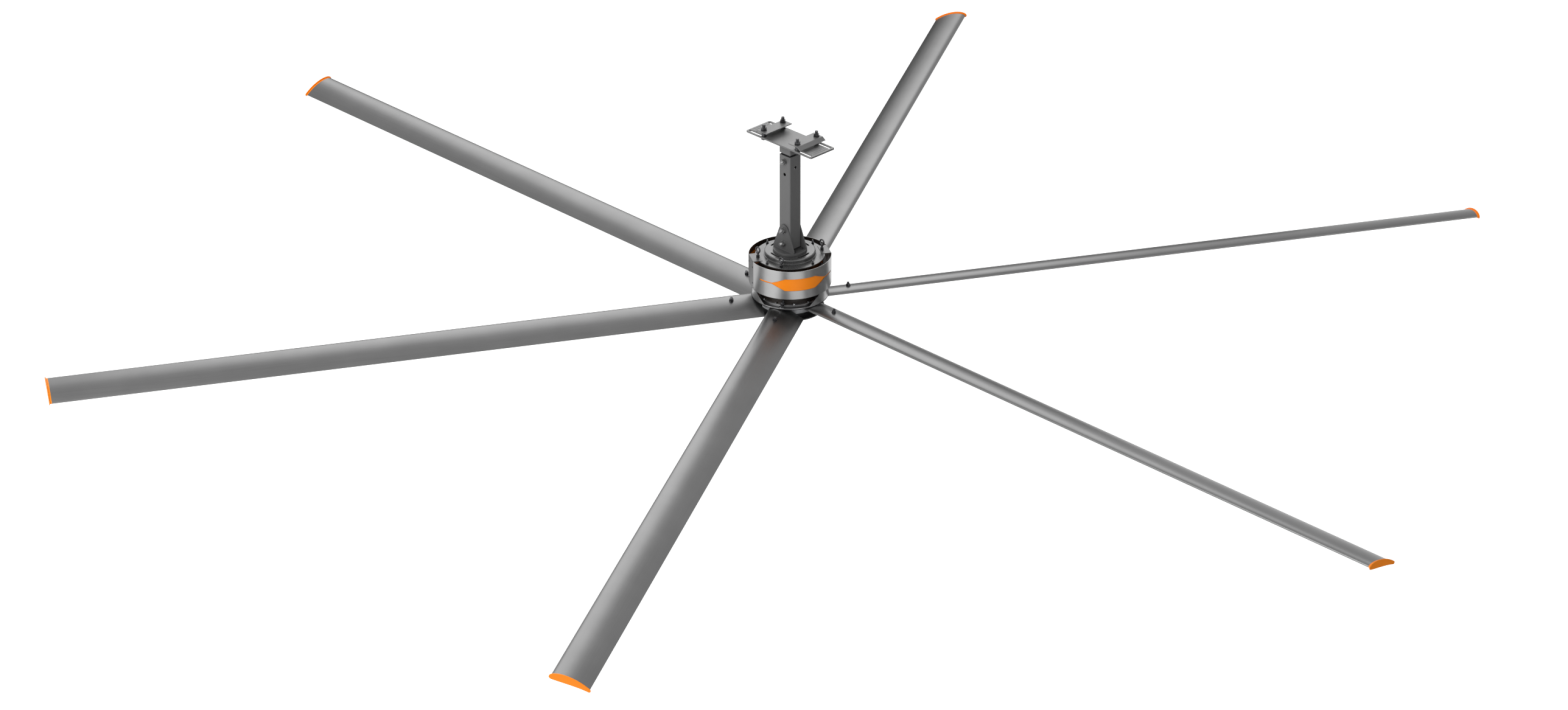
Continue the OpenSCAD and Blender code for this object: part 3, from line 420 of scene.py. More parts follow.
def at_blade(turn):
    """The frame of one blade: X along the spar, Z square to the chord."""
    return turn_z(turn) @ at(z=SPAR_Z) @ Matrix.Rotation(-sizes().pitch, 4, "X")


def keep_place(piece):
    """Keeps the piece's own coordinates as an attribute, for patterns that follow it."""
    attribute = piece.data.attributes.new("own_place", "FLOAT_VECTOR", "POINT")
    attribute.data.foreach_set("vector", [c for v in piece.data.vertices for c in v.co])


def painted(part, finish_name):
    """Gives a part its finish."""
    part.data.materials.clear()
    part.data.materials.append(FINISHES[finish_name])
    return part


def dress(piece, finish_name, body, slot, *nodes, angle=32):
    """Gives a piece its finish and body, and hides the nodes that it stands for; it does nothing
    with the slot.
    """
    choose(piece)
    bpy.ops.object.shade_smooth_by_angle(angle=math.radians(angle))
    modified(piece, "WEIGHTED_NORMAL", mode="FACE_AREA", weight=50, keep_sharp=True)
    if finish_name:
        painted(piece, finish_name)
    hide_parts(*nodes)
    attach(piece, body)
    return piece


def hardware(master, places, name, finish_name, body, slot, *nodes):
    """Copies of a fastener at each place, dressed as one piece."""
    return dress(copies(master, places, name), finish_name, body, slot, *nodes, angle=25)


def one_per_blade(piece, name, finish_name, slot, node_name, angle):
    """Six twins of a piece, one in the frame of each blade."""
    for k, turn in enumerate(BLADE_TURNS):
        own = piece if turn == BLADE_TURNS[-1] else twin(piece)
        own = placed(own, at_blade(turn), f"{name}_{k + 1}")
        dress(own, finish_name, "rotor", slot, f"{node_name}_{k + 1}", angle=angle)


# ---- outlines ----


def arc_points(centre, radius, start, end, steps):
    """Points on an arc, from the angle start to end in degrees."""
    turns = [math.radians(start + (end - start) * k / steps) for k in range(steps + 1)]
    return [(centre[0] + radius * math.cos(t), centre[1] + radius * math.sin(t)) for t in turns]


def rounded_box(half_x, half_y, radius, steps=6):
    """A rectangle with rounded corners, anticlockwise."""
    points = []
    for sx, sy, start in ((1, 1, 0), (-1, 1, 90), (-1, -1, 180), (1, -1, 270)):
        centre = (sx * (half_x - radius), sy * (half_y - radius))
        points += arc_points(centre, radius, start, start + 90, steps)
    return points


def capsule(x1, x2, y, width, steps=10):
    """The outline of a slot along X between two centres."""
    right = arc_points((x2, y), width / 2, -90, 90, steps)
    return right + arc_points((x1, y), width / 2, 90, 270, steps)


def curved_capsule(radius, width, arc, turn, steps=10):
    """The outline of a slot that follows a circle."""
    a1, a2 = turn - arc / 2, turn + arc / 2
    ends = [(radius * math.cos(math.radians(a)), radius * math.sin(math.radians(a)))
            for a in (a1, a2)]
    outer = arc_points((0, 0), radius + width / 2, a1, a2, 2 * steps)
    inner = arc_points((0, 0), radius - width / 2, a2, a1, 2 * steps)
    tip = arc_points(ends[1], width / 2, a2, a2 + 180, steps)[1:-1]
    tail = arc_points(ends[0], width / 2, a1 + 180, a1 + 360, steps)[1:-1]
    return outer + tip + inner + tail


def rounded_profile(radius_in, radius_out, foot, top, ease_by, steps=3):
    """The section of a ring with rounded edges, as (radius, height) points."""
    half_r, half_z = (radius_out - radius_in) / 2, (top - foot) / 2
    box = rounded_box(half_r, half_z, min(ease_by, half_r * 0.9, half_z * 0.9), steps)
    return [(x + (radius_in + radius_out) / 2, z + (foot + top) / 2) for x, z in box]


# ---- the blade's section, as the frame's source has it ----

CHORD = 177
BLADE_H = 28
BLADE_WALL = 2
CREST, SPAR_SHARE, NOSE = 0.63, 0.667, 0.94
TAIL_T, NOSE_R, UNDER_RISE = 3, 4, 3
TAIL_ROUND = 0.9
SPAR_X = CHORD * SPAR_SHARE
SPAR_HALF = 25.3


def top_y(u):
    """Height of the section's top at the share u of the chord, from the trailing edge."""
    if u < CREST:
        return TAIL_T + (BLADE_H - TAIL_T) * (1 - (1 - u / CREST) ** 2)
    return NOSE_R + (BLADE_H - NOSE_R) * math.sqrt(max(0, 1 - ((u - CREST) / (1 - CREST)) ** 2))


def under_y(u):
    """Height of the section's underside at the share u of the chord."""
    curl = 1 - math.sqrt(max(0, 1 - ((u - NOSE) / (1 - NOSE)) ** 2)) if u > NOSE else 0
    return UNDER_RISE * 27 / 4 * u * (1 - u) ** 2 + NOSE_R * curl


def blade_outline(rear=26, front=20, nose=7, under=24):
    """The section from the trailing edge over the top and back underneath."""
    tops = [CREST * k / rear for k in range(rear)]
    tops += [CREST + (1 - CREST) * math.sin(math.pi / 2 * k / front) for k in range(front + 1)]
    unders = [NOSE + (1 - NOSE) * math.sin(math.pi / 2 * k / nose) for k in range(nose - 1, 0, -1)]
    unders += [NOSE * k / under for k in range(under, 0, -1)]
    edge = TAIL_ROUND
    return (arc_points((edge, TAIL_T - edge), edge, 180, 114, 4)
            + [(u * CHORD, top_y(u)) for u in tops[1:]]
            + [(u * CHORD, under_y(u)) for u in unders]
            + arc_points((edge, edge), edge, 277, 186, 4))


def grown(points, by):
    """The outline pushed outwards, square to itself."""
    made = []
    for k, (x, y) in enumerate(points):
        ahead, behind = points[(k + 1) % len(points)], points[k - 1]
        dx, dy = ahead[0] - behind[0], ahead[1] - behind[1]
        long = math.hypot(dx, dy)
        made.append((x - by * dy / long, y + by * dx / long))
    return made


def across(points, r):
    """A section across the spar at the distance r, with the leading edge towards -Y."""
    return [(r, SPAR_X - x, y - BLADE_H / 2) for x, y in points]


def hollow(first, last, steps=8, wall=BLADE_WALL):
    """A hollow of the blade between two places on the chord."""
    xs = [first + (last - first) * k / steps for k in range(steps + 1)]
    upper = [(x, top_y(x / CHORD) - wall) for x in xs]
    return upper + [(x, under_y(x / CHORD) + wall) for x in reversed(xs)]


# ---- finishes ----

FINISHES = {}
# The part of a noise's range that is stretched to the whole
NOISE_LOW, NOISE_HIGH = 0.3, 0.7


def node(tree, kind, inputs=None, **settings):
    """Adds a node with its settings; an input is a value or another node's output."""
    made = tree.nodes.new(kind)
    for key, value in settings.items():
        setattr(made, key, value)
    for key, value in (inputs or {}).items():
        if isinstance(value, bpy.types.NodeSocket):
            tree.links.new(value, made.inputs[key])
        else:
            made.inputs[key].default_value = value
    return made


def new_material(name):
    """An empty material and its node tree."""
    made = bpy.data.materials.new(name)
    made.use_nodes = True
    made.node_tree.nodes.clear()
    return made, made.node_tree


def finish(key, name, tones, metallic, rough, spread, grain, relief, cloud, stretch=(1, 1, 1),
           coat=0.0, attribute=None, bands=None, brushed=0.0, gloss=0.5):
    """Makes a finish from two noises: a fine, stretched grain, and broad clouds.

    tones: light and dark colour; rough, spread: roughness and how far it varies; grain, relief,
    cloud: mm; bands: (axis, pitch in mm, share of the colour) for stacked or wound material;
    brushed: how far streaks that run round Z draw a highlight out along Z.
    """
    made, tree = new_material(name)
    light, dark = tones
    if attribute:
        place = node(tree, "ShaderNodeAttribute", attribute_name=attribute).outputs["Vector"]
    else:
        place = node(tree, "ShaderNodeTexCoord").outputs["Object"]
    scale = [1 / (grain * MM * s) for s in stretch]
    fine_place = node(tree, "ShaderNodeMapping", {"Vector": place, "Scale": scale})
    fine = node(tree, "ShaderNodeTexNoise", {
        "Vector": fine_place.outputs[0], "Scale": 1.0, "Detail": 3.0, "Roughness": 0.6})
    broad = node(tree, "ShaderNodeTexNoise", {
        "Vector": place, "Scale": 1 / (cloud * MM), "Detail": 2.0, "Roughness": 0.5})
    share = node(tree, "ShaderNodeMix", {
        "Factor": 0.55, "A": fine.outputs["Fac"], "B": broad.outputs["Fac"]},
        data_type="FLOAT").outputs[0]
    if bands:
        axis, pitch, strength = bands
        # A wave texture of the scale 1 repeats after pi / 10
        wave = node(tree, "ShaderNodeTexWave", {
            "Vector": place, "Scale": math.pi / 10 / (pitch * MM), "Distortion": 0.0},
            wave_type="BANDS", bands_direction=axis)
        share = node(tree, "ShaderNodeMix", {
            "Factor": strength, "A": share, "B": wave.outputs["Fac"]},
            data_type="FLOAT").outputs[0]
    mixed = node(tree, "ShaderNodeMapRange", {
        "Value": share, "From Min": NOISE_LOW, "From Max": NOISE_HIGH,
        "To Min": 0.0, "To Max": 1.0})
    colour = node(tree, "ShaderNodeMix", {
        "Factor": mixed.outputs[0], "A": (*dark, 1), "B": (*light, 1)}, data_type="RGBA")
    roughness = node(tree, "ShaderNodeMapRange", {
        "Value": fine.outputs["Fac"], "From Min": NOISE_LOW, "From Max": NOISE_HIGH,
        "To Min": rough - spread, "To Max": rough + spread})
    bump = node(tree, "ShaderNodeBump", {
        "Height": share, "Strength": 0.6, "Distance": relief * MM})
    shader = node(tree, "ShaderNodeBsdfPrincipled", {
        "Base Color": colour.outputs[2], "Metallic": metallic, "Roughness": roughness.outputs[0],
        "Normal": bump.outputs[0], "Coat Weight": coat, "Coat Roughness": 0.25,
        "Anisotropic": brushed, "Anisotropic Rotation": 0.25, "Specular IOR Level": gloss})
    if brushed:
        round_z = node(tree, "ShaderNodeVectorMath", {0: (0, 0, 1), 1: place},
                       operation="CROSS_PRODUCT")
        tree.links.new(round_z.outputs[0], shader.inputs["Tangent"])
    node(tree, "ShaderNodeOutputMaterial", {"Surface": shader.outputs[0]})
    FINISHES[key] = made


def shades(colour, light, dark):
    """Light and dark tone as shares of one colour."""
    return [[c * by for c in colour] for by in (light, dark)]


def hexes(light, dark):
    return [colour_of(light), colour_of(dark)]


def make_finishes():
    """Each row: key, name, tones, metallic, rough, spread, grain, relief, cloud."""
    c = colours()
    # Anodised extrusion: satin metal with faint die lines along the blade, 1 mm apart, drawn 2.5
    finish("blade", "anodised_extrusion", shades(c.blade, 1, 0.86), 1.0, 0.36, 0.03, 2.5, 0.01, 180,
           (160, 1, 1), attribute="own_place")
    # Injection-moulded ABS: even, slightly soft gloss over a fine spark-eroded texture
    finish("orange", "moulded_abs", shades(c.orange, 1, 0.92), 0.0, 0.42, 0.04, 1.2, 0.015, 120,
           gloss=0.35)
    # Powder coat: dull film with the fine orange peel of melted powder
    finish("rod", "powder_coat", shades(c.rod, 0.86, 0.78), 0.0, 0.5, 0.05, 1.6, 0.03, 150)
    # The clevis's coat: the same film as the rod's, darkened as painted shade
    finish("clevis", "powder_coat_painted_shade", shades(c.rod, 0.52, 0.42), 0.0, 0.45, 0.05, 1.6, 0.03, 150)
    # Enamelled steel plate: smoother film with a soft sheen
    finish("plate", "grey_enamel", shades(c.plate, 1, 0.85), 0.25, 0.42, 0.05, 3, 0.02, 120)
    # Satin enamel over the turned cap and flange: darker, with a clearer shine
    finish("cap", "satin_enamel", shades(c.plate, 0.66, 0.6), 0.6, 0.27, 0.02, 2.5, 0.001, 90)
    # Brushed sheet: streaks that run round the drum, 0.3 mm wide, drawn 1 mm
    finish("sheet", "brushed_sheet", shades(c.sheet, 1, 0.86), 1.0, 0.36, 0.04, 1.0, 0.006, 140,
           (60, 60, 1), brushed=0.7)
    # Rolled sheet of the brackets: duller than the brushed shroud, with the shroud's sheet colour
    # darkened as painted shade
    finish("bracket", "rolled_sheet_painted_shade", shades(c.sheet, 0.4, 0.37), 0.9, 0.42, 0.04, 2.0, 0.01, 90)
    # Phosphated steel: matt grey bolts of the downrod and clevis
    finish("grey_bolt", "phosphated_steel", hexes("#8c8c8c", "#6a6a6a"), 0.9, 0.36, 0.06, 1.5,
           0.02, 20)
    # Blackened steel: oily dark oxide over turned and rolled metal
    finish("bolt", "blackened_steel", shades(c.bolt, 1, 0.6), 0.9, 0.3, 0.08, 1.5, 0.02, 20)
    # Zinc plate: bright thin plating, slightly clouded
    finish("bright", "zinc_plate", shades(c.bright, 1, 0.75), 1.0, 0.3, 0.06, 2, 0.01, 15)
    # Cast aluminium: grainy skin with a dull shine
    finish("cast", "cast_aluminium", hexes("#97989a", "#6d6e70"), 0.9, 0.5, 0.08, 2, 0.08, 60)
    # Baked drum paint: dark brown, slightly glossy; on the shroud's inner faces and end tabs it is
    # painted shade
    finish("drum", "drum_paint_and_painted_shade", shades(c.drum, 1, 0.6), 0.3, 0.4, 0.06, 2.5, 0.03, 90)
    # Black cover paint: satin film on a spun cover; on the hub disc it is painted shade
    finish("cover", "black_paint_and_painted_shade", hexes("#242425", "#161617"), 0.0, 0.42, 0.06, 2, 0.02, 80,
           gloss=0.3)
    # Electrical steel: stacked sheets 0.5 mm thick, drawn 2 mm
    finish("lamination", "stacked_laminations", hexes("#85898e", "#4c4f54"), 0.9, 0.45, 0.08, 3,
           0.05, 40, bands=("Z", 2.0, 0.6))
    # Enamelled copper wire: glossy turns 1.2 mm thick, drawn 2.4 mm
    finish("copper", "enamelled_copper", hexes("#c47a45", "#7d3f1c"), 0.9, 0.32, 0.06, 4, 0.3, 30,
           coat=0.4, bands=("Z", 2.4, 0.7))
    # Nickel-plated magnets: bright, faintly yellow plating
    finish("magnet", "nickel_plate", hexes("#c9c5ba", "#9f9b90"), 1.0, 0.28, 0.05, 2, 0.01, 25)
    # Ground bearing steel: fine rings from the grinding wheel
    finish("ground", "ground_steel", hexes("#c6c8ca", "#9a9c9f"), 1.0, 0.22, 0.05, 0.8, 0.004, 30,
           (30, 30, 1))


# ---- fasteners along +Z; the bearing face is at zero ----

# Shares of the thread's diameter
ACROSS, NUT_H, HEAD_H, HEX_EASE = 1.73, 0.8, 0.62, 0.07
WASHER_D, WASHER_T = 1.9, 0.18
# Play between stacked pieces, and the pitch of the blades' bolts, in mm
PLAY, FINE_PITCH = 0.15, 1.75
# Small screws: width over the corners of the head by thread diameter, and the head's height
SCREW_HEADS, SCREW_HEAD_H = {6: 10, 8: 13.8}, 5


def hexagon(corners_d, foot, top, chamfer):
    """A hexagon with both its rims eased, as a nut's or a bolt's head."""
    clear_selection()
    bpy.ops.mesh.primitive_cylinder_add(
        vertices=6, radius=corners_d / 2 * MM, depth=(top - foot) * MM,
        location=(0, 0, (foot + top) / 2 * MM), rotation=(0, 0, math.radians(30)))
    piece = settle(bpy.context.object)
    shape = open_mesh(piece, "EDGE", "DESELECT")
    for edge in shape.edges:
        if abs(edge.verts[0].co.z - edge.verts[1].co.z) < 1e-7:
            edge.select_set(True)
    shape.select_flush_mode()
    bmesh.update_edit_mesh(piece.data)
    bpy.ops.mesh.bevel(offset=chamfer * MM, segments=2, affect="EDGES")
    close_mesh()
    return piece


def threaded_bar(d, foot, top, thread_foot, pitch):
    """A round bar with ring-shaped threads over its upper part."""
    profile = [(0, foot), (d / 2, foot), (d / 2, thread_foot)]
    depth, z = pitch * 0.5, thread_foot
    while z + pitch < top:
        profile += [(d / 2 - depth, z + pitch / 2), (d / 2, z + pitch)]
        z += pitch
    profile += [(d / 2 - depth, top), (0, top)]
    return turned("bar", profile, steps=24)


def washer(d, foot):
    return ring("washer", d / 2, WASHER_D * d / 2, foot, foot + WASHER_T * d, 0.3, steps=40)


def bolt(d, end, washers, nuts, pitch=2.0):
    """A bolt with its head below zero, its end, and washers and nuts at the given heights."""
    parts = [
        hexagon(ACROSS * d, -HEAD_H * d, 0, HEX_EASE * d),
        threaded_bar(d, -HEAD_H * d / 2, end, min(nuts), pitch),
    ]
    parts += [washer(d, z) for z in washers]
    parts += [hexagon(ACROSS * d, z, z + NUT_H * d, HEX_EASE * d) for z in nuts]
    return joined("bolt", parts)


def hex_screw(d, depth):
    """A hexagon-headed screw whose head stands on zero."""
    corners_d = SCREW_HEADS[d]
    return joined("screw", [
        hexagon(corners_d, 0, SCREW_HEAD_H, 0.08 * corners_d),
        round_bar(d, (0, 0, -depth), (0, 0, SCREW_HEAD_H / 2), steps=20)])


def pan_screw():
    """A screw with a low round head and a hexagon socket."""
    profile = [(0, 0), (4, 0)] + arc_points((2.4, 0.9), 1.6, 0, 90, 4) + [(0, 2.5)]
    head = turned("head", profile, steps=28)
    cut(head, round_bar(3.2, (0, 0, 1.4), (0, 0, 4), 6))
    return joined("screw", [head, round_bar(5, (0, 0, -4), (0, 0, 0.5), 16)])


def weld_bead(half_length, place):
    """A rippled weld bead along X, set in a corner."""
    size = sizes().weld / MM
    ripples = 2 * int(half_length / 1.6)
    profile = [(0, -half_length)]
    for k in range(ripples + 1):
        z = -half_length + 2 * half_length * k / ripples
        profile.append((size * (0.95 if k % 2 else 0.88), z))
    profile.append((0, half_length))
    return placed(turned("bead", profile, steps=14), place @ turn_y(90))


# ---- the operators ----


class FAN_OT_finishes(bpy.types.Operator):
    """Makes the finishes."""

    bl_idname = "fan.finishes"
    bl_label = "Finishes"

    def execute(self, context):
        make_finishes()
        return {"FINISHED"}


class FAN_OT_beam_plate(bpy.types.Operator):
    """Mounting plate with slots, tracks and pressed ridges, its stub tube and coupling tube."""

    bl_idname = "fan.beam_plate"
    bl_label = "Mounting plate"

    def execute(self, context):
        half = high("mount_plate")
        plate = prism("beam_plate", rounded_box(half.x, half.y, 8), -PLATE_T, PLATE_T)
        near, far = 106.5, half.x - 18.5
        track_w, track_depth = 24.2, 0.5
        for width, foot in ((SLOT_W, -PLATE_T - 1), (track_w, -track_depth)):
            cut(plate, *[prism("slot", capsule(*ends, y, width), foot, 1 - foot)
                         for ends in ((near, far), (-far, -near)) for y in (-CLAMP_Y, CLAMP_Y)])
        cut(plate, *self.ridges(half.x, 0))
        ease(plate, 0.7)
        plate = joined("beam_plate", [plate] + self.ridges(half.x, -PLATE_T))
        dress(plate, "plate", "hanger", "plate_grey", "mount_plate")
        stub = square_tube("stub_square", TUBE_HALF, low("stub_tube").z, -PLATE_T)
        weld = [weld_bead(34, turn_z(turn) @ at(0, TUBE_HALF, -PLATE_T)) for turn in QUARTERS]
        stub = joined("stub_square", [ease(stub, 0.6)] + weld)
        dress(stub, "rod", "hanger", "tube_grey", "stub_tube")
        tube = square_tube("coupling_square", COUPLING_HALF, *levels("coupling_tube"))
        dress(ease(tube, 0.5), "bolt", "hanger", "tube_grey", "coupling_tube")
        return {"FINISHED"}

    def ridges(self, half_x, face_z):
        """Rounded bars across the plate: grooves in its top, and ridges below them."""
        z = face_z + 3.15
        return [ease(round_bar(8.7, (x, -50, z), (x, 50, z), 24), 2.5, 3)
                for x in [side * (half_x - 16 - 14 * k) for side in (-1, 1) for k in range(5)]]


class FAN_OT_clamps(bpy.types.Operator):
    """Two beam clamps, each with its bolts and spacer sleeves."""

    bl_idname = "fan.clamps"
    bl_label = "Beam clamps"

    def execute(self, context):
        d = ROD_BOLT_D
        grip = PLATE_T + CLAMP_TOP
        nut_at = grip + WASHER_T * d + PLAY
        end = grip + WASHER_T * d + NUT_H * d + 14
        for letter, turn in (("a", 0), ("b", 180)):
            body = f"clamp_{letter}"
            place = turn_z(turn) @ at(CLAMP_X)
            bolts = [place @ at(y=y) for y in (-CLAMP_Y, CLAMP_Y)]
            lip = placed(self.lip(), place, f"clamp_lip_{letter}")
            dress(lip, "plate", body, "plate_grey", f"clamp_plate_{letter}")
            hardware(bolt(d, end, [grip], [nut_at]), [p @ at(z=-PLATE_T - 0.05) for p in bolts],
                     f"clamp_fixing_{letter}", "bolt", body, "bolt_dark", f"clamp_bolts_{letter}")
            hardware(ring("sleeve", 8.5, 11.5, -0.45, 26, 0.5, steps=48), bolts,
                     f"clamp_sleeves_{letter}", "bolt", body, "plate_grey",
                     f"clamp_spacers_{letter}")
        return {"FINISHED"}

    def lip(self):
        """A 5 mm plate whose outer leg slopes down."""
        centre, slope = (18, 21), 51.3
        outer_bend = arc_points(centre, 10, slope, 90, 5)
        inner_bend = arc_points(centre, 5, slope, 90, 5)[::-1]
        profile = ([(-41, CLAMP_TOP - 5)] + inner_bend + [(37, 13.5), (42, 16)] + outer_bend
                   + [(-41, CLAMP_TOP)])
        plate = run_y("lip", profile, 87, -174)
        cut(plate, *[round_bar(SLOT_W, (0, y, 20), (0, y, 40)) for y in (-CLAMP_Y, CLAMP_Y)])
        return ease(plate, 0.8)


class FAN_OT_downrod(bpy.types.Operator):
    """Square downrod with its holes, the hanging bolt and the clevis bolts."""

    bl_idname = "fan.downrod"
    bl_label = "Downrod"

    def execute(self, context):
        rod = square_tube("downrod_square", TUBE_HALF, ROD_FOOT, ROD_TOP)
        spare_z, cable_z = BOLT_Z - 70, BOLT_Z - 32
        holes = [bore_y(ROD_BORE, z) for z in [BOLT_Z] + CLEVIS_BOLT_Z]
        holes += [bore_y(17, spare_z), round_bar(15, (-60, 0, cable_z), (60, 0, cable_z), 40)]
        cut(rod, *holes)
        dress(ease(rod, 0.7), "rod", "motor", "tube_grey", "downrod")
        d, reach = ROD_BOLT_D, TUBE_HALF + 0.3
        stack = WASHER_T * d + PLAY
        seat = reach + stack
        far = seat + reach
        hardware(bolt(d, seat + 65.83, [PLAY, far], [far + stack]),
                 [at(0, seat, BOLT_Z) @ turn_x(90)],
                 "hanging_bolt", "grey_bolt", "hanger", "bolt_dark", "rod_bolt")
        far = 2 * CLEVIS_HALF
        hardware(bolt(d, far + 27.5, [far], [far + 3.0]),
                 [at(0, CLEVIS_HALF, z) @ turn_x(90) for z in CLEVIS_BOLT_Z],
                 "clevis_fixing", "grey_bolt", "motor", "bolt_dark", "clevis_bolts")
        return {"FINISHED"}


class FAN_OT_clevis(bpy.types.Operator):
    """Clevis with its base disc, two welded plates and base screws."""

    bl_idname = "fan.clevis"
    bl_label = "Clevis"

    def execute(self, context):
        base = ring("base", 18, 84.5, CAP_TOP, BASE_TOP, 1.2)
        # A round head whose straight sides run down to the foot's corners
        head_z, head_r, foot_x, foot_z = 106, 31, 71, 10
        reach = math.hypot(foot_x, foot_z - head_z)
        turn = math.degrees(math.atan2(foot_z - head_z, foot_x))
        turn += math.degrees(math.acos(head_r / reach))
        outline = arc_points((0, head_z), head_r, turn, 180 - turn, 28)
        outline += [(-foot_x, foot_z), (-foot_x, 0), (foot_x, 0), (foot_x, foot_z)]
        outline = [(x, BASE_TOP + z) for x, z in outline]
        cheeks = [ease(run_y("cheek", outline, y, CHEEK_T), 0.9)
                  for y in (-CLEVIS_HALF, CLEVIS_HALF - CHEEK_T)]
        bores = [bore_y(ROD_BORE, z) for z in CLEVIS_BOLT_Z]
        cheeks = cut(joined("cheeks", cheeks), *bores)
        beads = [weld_bead(66, at(0, y, BASE_TOP)) for y in (-CLEVIS_HALF, CLEVIS_HALF)]
        clevis = joined("clevis_welded", [base, cheeks] + beads)
        dress(clevis, "clevis", "motor", "tube_grey", "clevis_bracket")
        places = [turn_z(side + turn) @ at(62, 0, BASE_TOP)
                  for side in (0, 180) for turn in (-24, 24)]
        hardware(hex_screw(8, 16), places,
                 "base_fixing", "bolt", "motor", "bolt_dark", "base_screws")
        return {"FINISHED"}


class FAN_OT_motor_top(bpy.types.Operator):
    """Raised cap, stator flange, stud bolts, eye bolts and cap screws."""

    bl_idname = "fan.motor_top"
    bl_label = "Motor top"

    def execute(self, context):
        h, slot_r = CAP_TOP - CAP_FOOT, 100
        # From the bore over the top's round edge to the foot's lip, and back inside
        profile = [(18, h - 5), (18, h)] + arc_points((120, h - 6), 6, 90, 0, 8)
        profile += arc_points((127.6, 5.6), 1.6, 180, 270, 3)
        profile += arc_points((128.8, 2.8), 1.2, 90, 0, 3)
        profile += [(130, 0), (121, 0)] + arc_points((119, h - 7), 2, 0, 90, 3)
        cap = turned("motor_cap", [(r, CAP_FOOT + z) for r, z in profile])
        cut(cap, *[prism("slot", curved_capsule(slot_r, 10, 40, turn), CAP_TOP - 8, 12)
                   for turn in QUARTERS])
        dress(cap, "cap", "motor", "plate_grey", "stator_cap")
        flange = ring("motor_flange", 32, 172, FLANGE_FOOT, FLANGE_TOP, 1.2)
        dress(flange, "cap", "motor", "plate_grey", "stator_flange")
        places = [turn_z(q + t) @ at(slot_r, 0, FLANGE_TOP + 8) for q in QUARTERS for t in (-12, 12)]
        hardware(hex_screw(6, 6), places,
                 "cap_fixing", "bright", "motor", "bright_steel", "cap_screws")
        stud = joined("stud", [threaded_bar(8, 0, 26, 6, 1.25), washer(8, 6),
                               hexagon(13.84, 7.6, 14, 0.6)])
        hardware(stud, [turn_z(q) @ at(158, 0, FLANGE_FOOT) for q in QUARTERS],
                 "flange_fixing", "bolt", "motor", "bolt_dark", "flange_bolts")
        places = [turn_z(t) @ at(163, 0, FLANGE_FOOT) @ turn_z(-t) for t in (60, 120, 240, 300)]
        hardware(self.eye_bolt(), places, "guy_eyes", "bolt", "motor", "bolt_dark", "eye_bolts")
        return {"FINISHED"}

    def eye_bolt(self):
        clear_selection()
        bpy.ops.mesh.primitive_torus_add(
            major_segments=48, minor_segments=18, major_radius=13 * MM, minor_radius=3.85 * MM,
            location=(0, 0, 48 * MM), rotation=(math.radians(90), 0, 0))
        eye = settle(bpy.context.object)
        collar = ring("collar", 4, 8.5, 29, 35, 1.5, steps=32)
        neck = turned("neck", [(0, 34), (5.5, 34.5), (4.2, 38), (0, 38)], steps=24)
        return joined("eye", [threaded_bar(10, 0, 31, 6, 1.5), eye, collar, neck, washer(10, 11),
                              hexagon(17.3, 13, 21, 0.8)])


# Badge opening: (degrees from its middle, heights of its lower and upper edge over its foot)
BADGE_PLACES = [(-61.5, 31, 38), (-41, 31, 37.1), (-22, 0, 64),
                (22, 0, 64), (41, 31, 37.1), (61.5, 31, 38)]
BADGE_FOOT = SHROUD_FOOT + 46


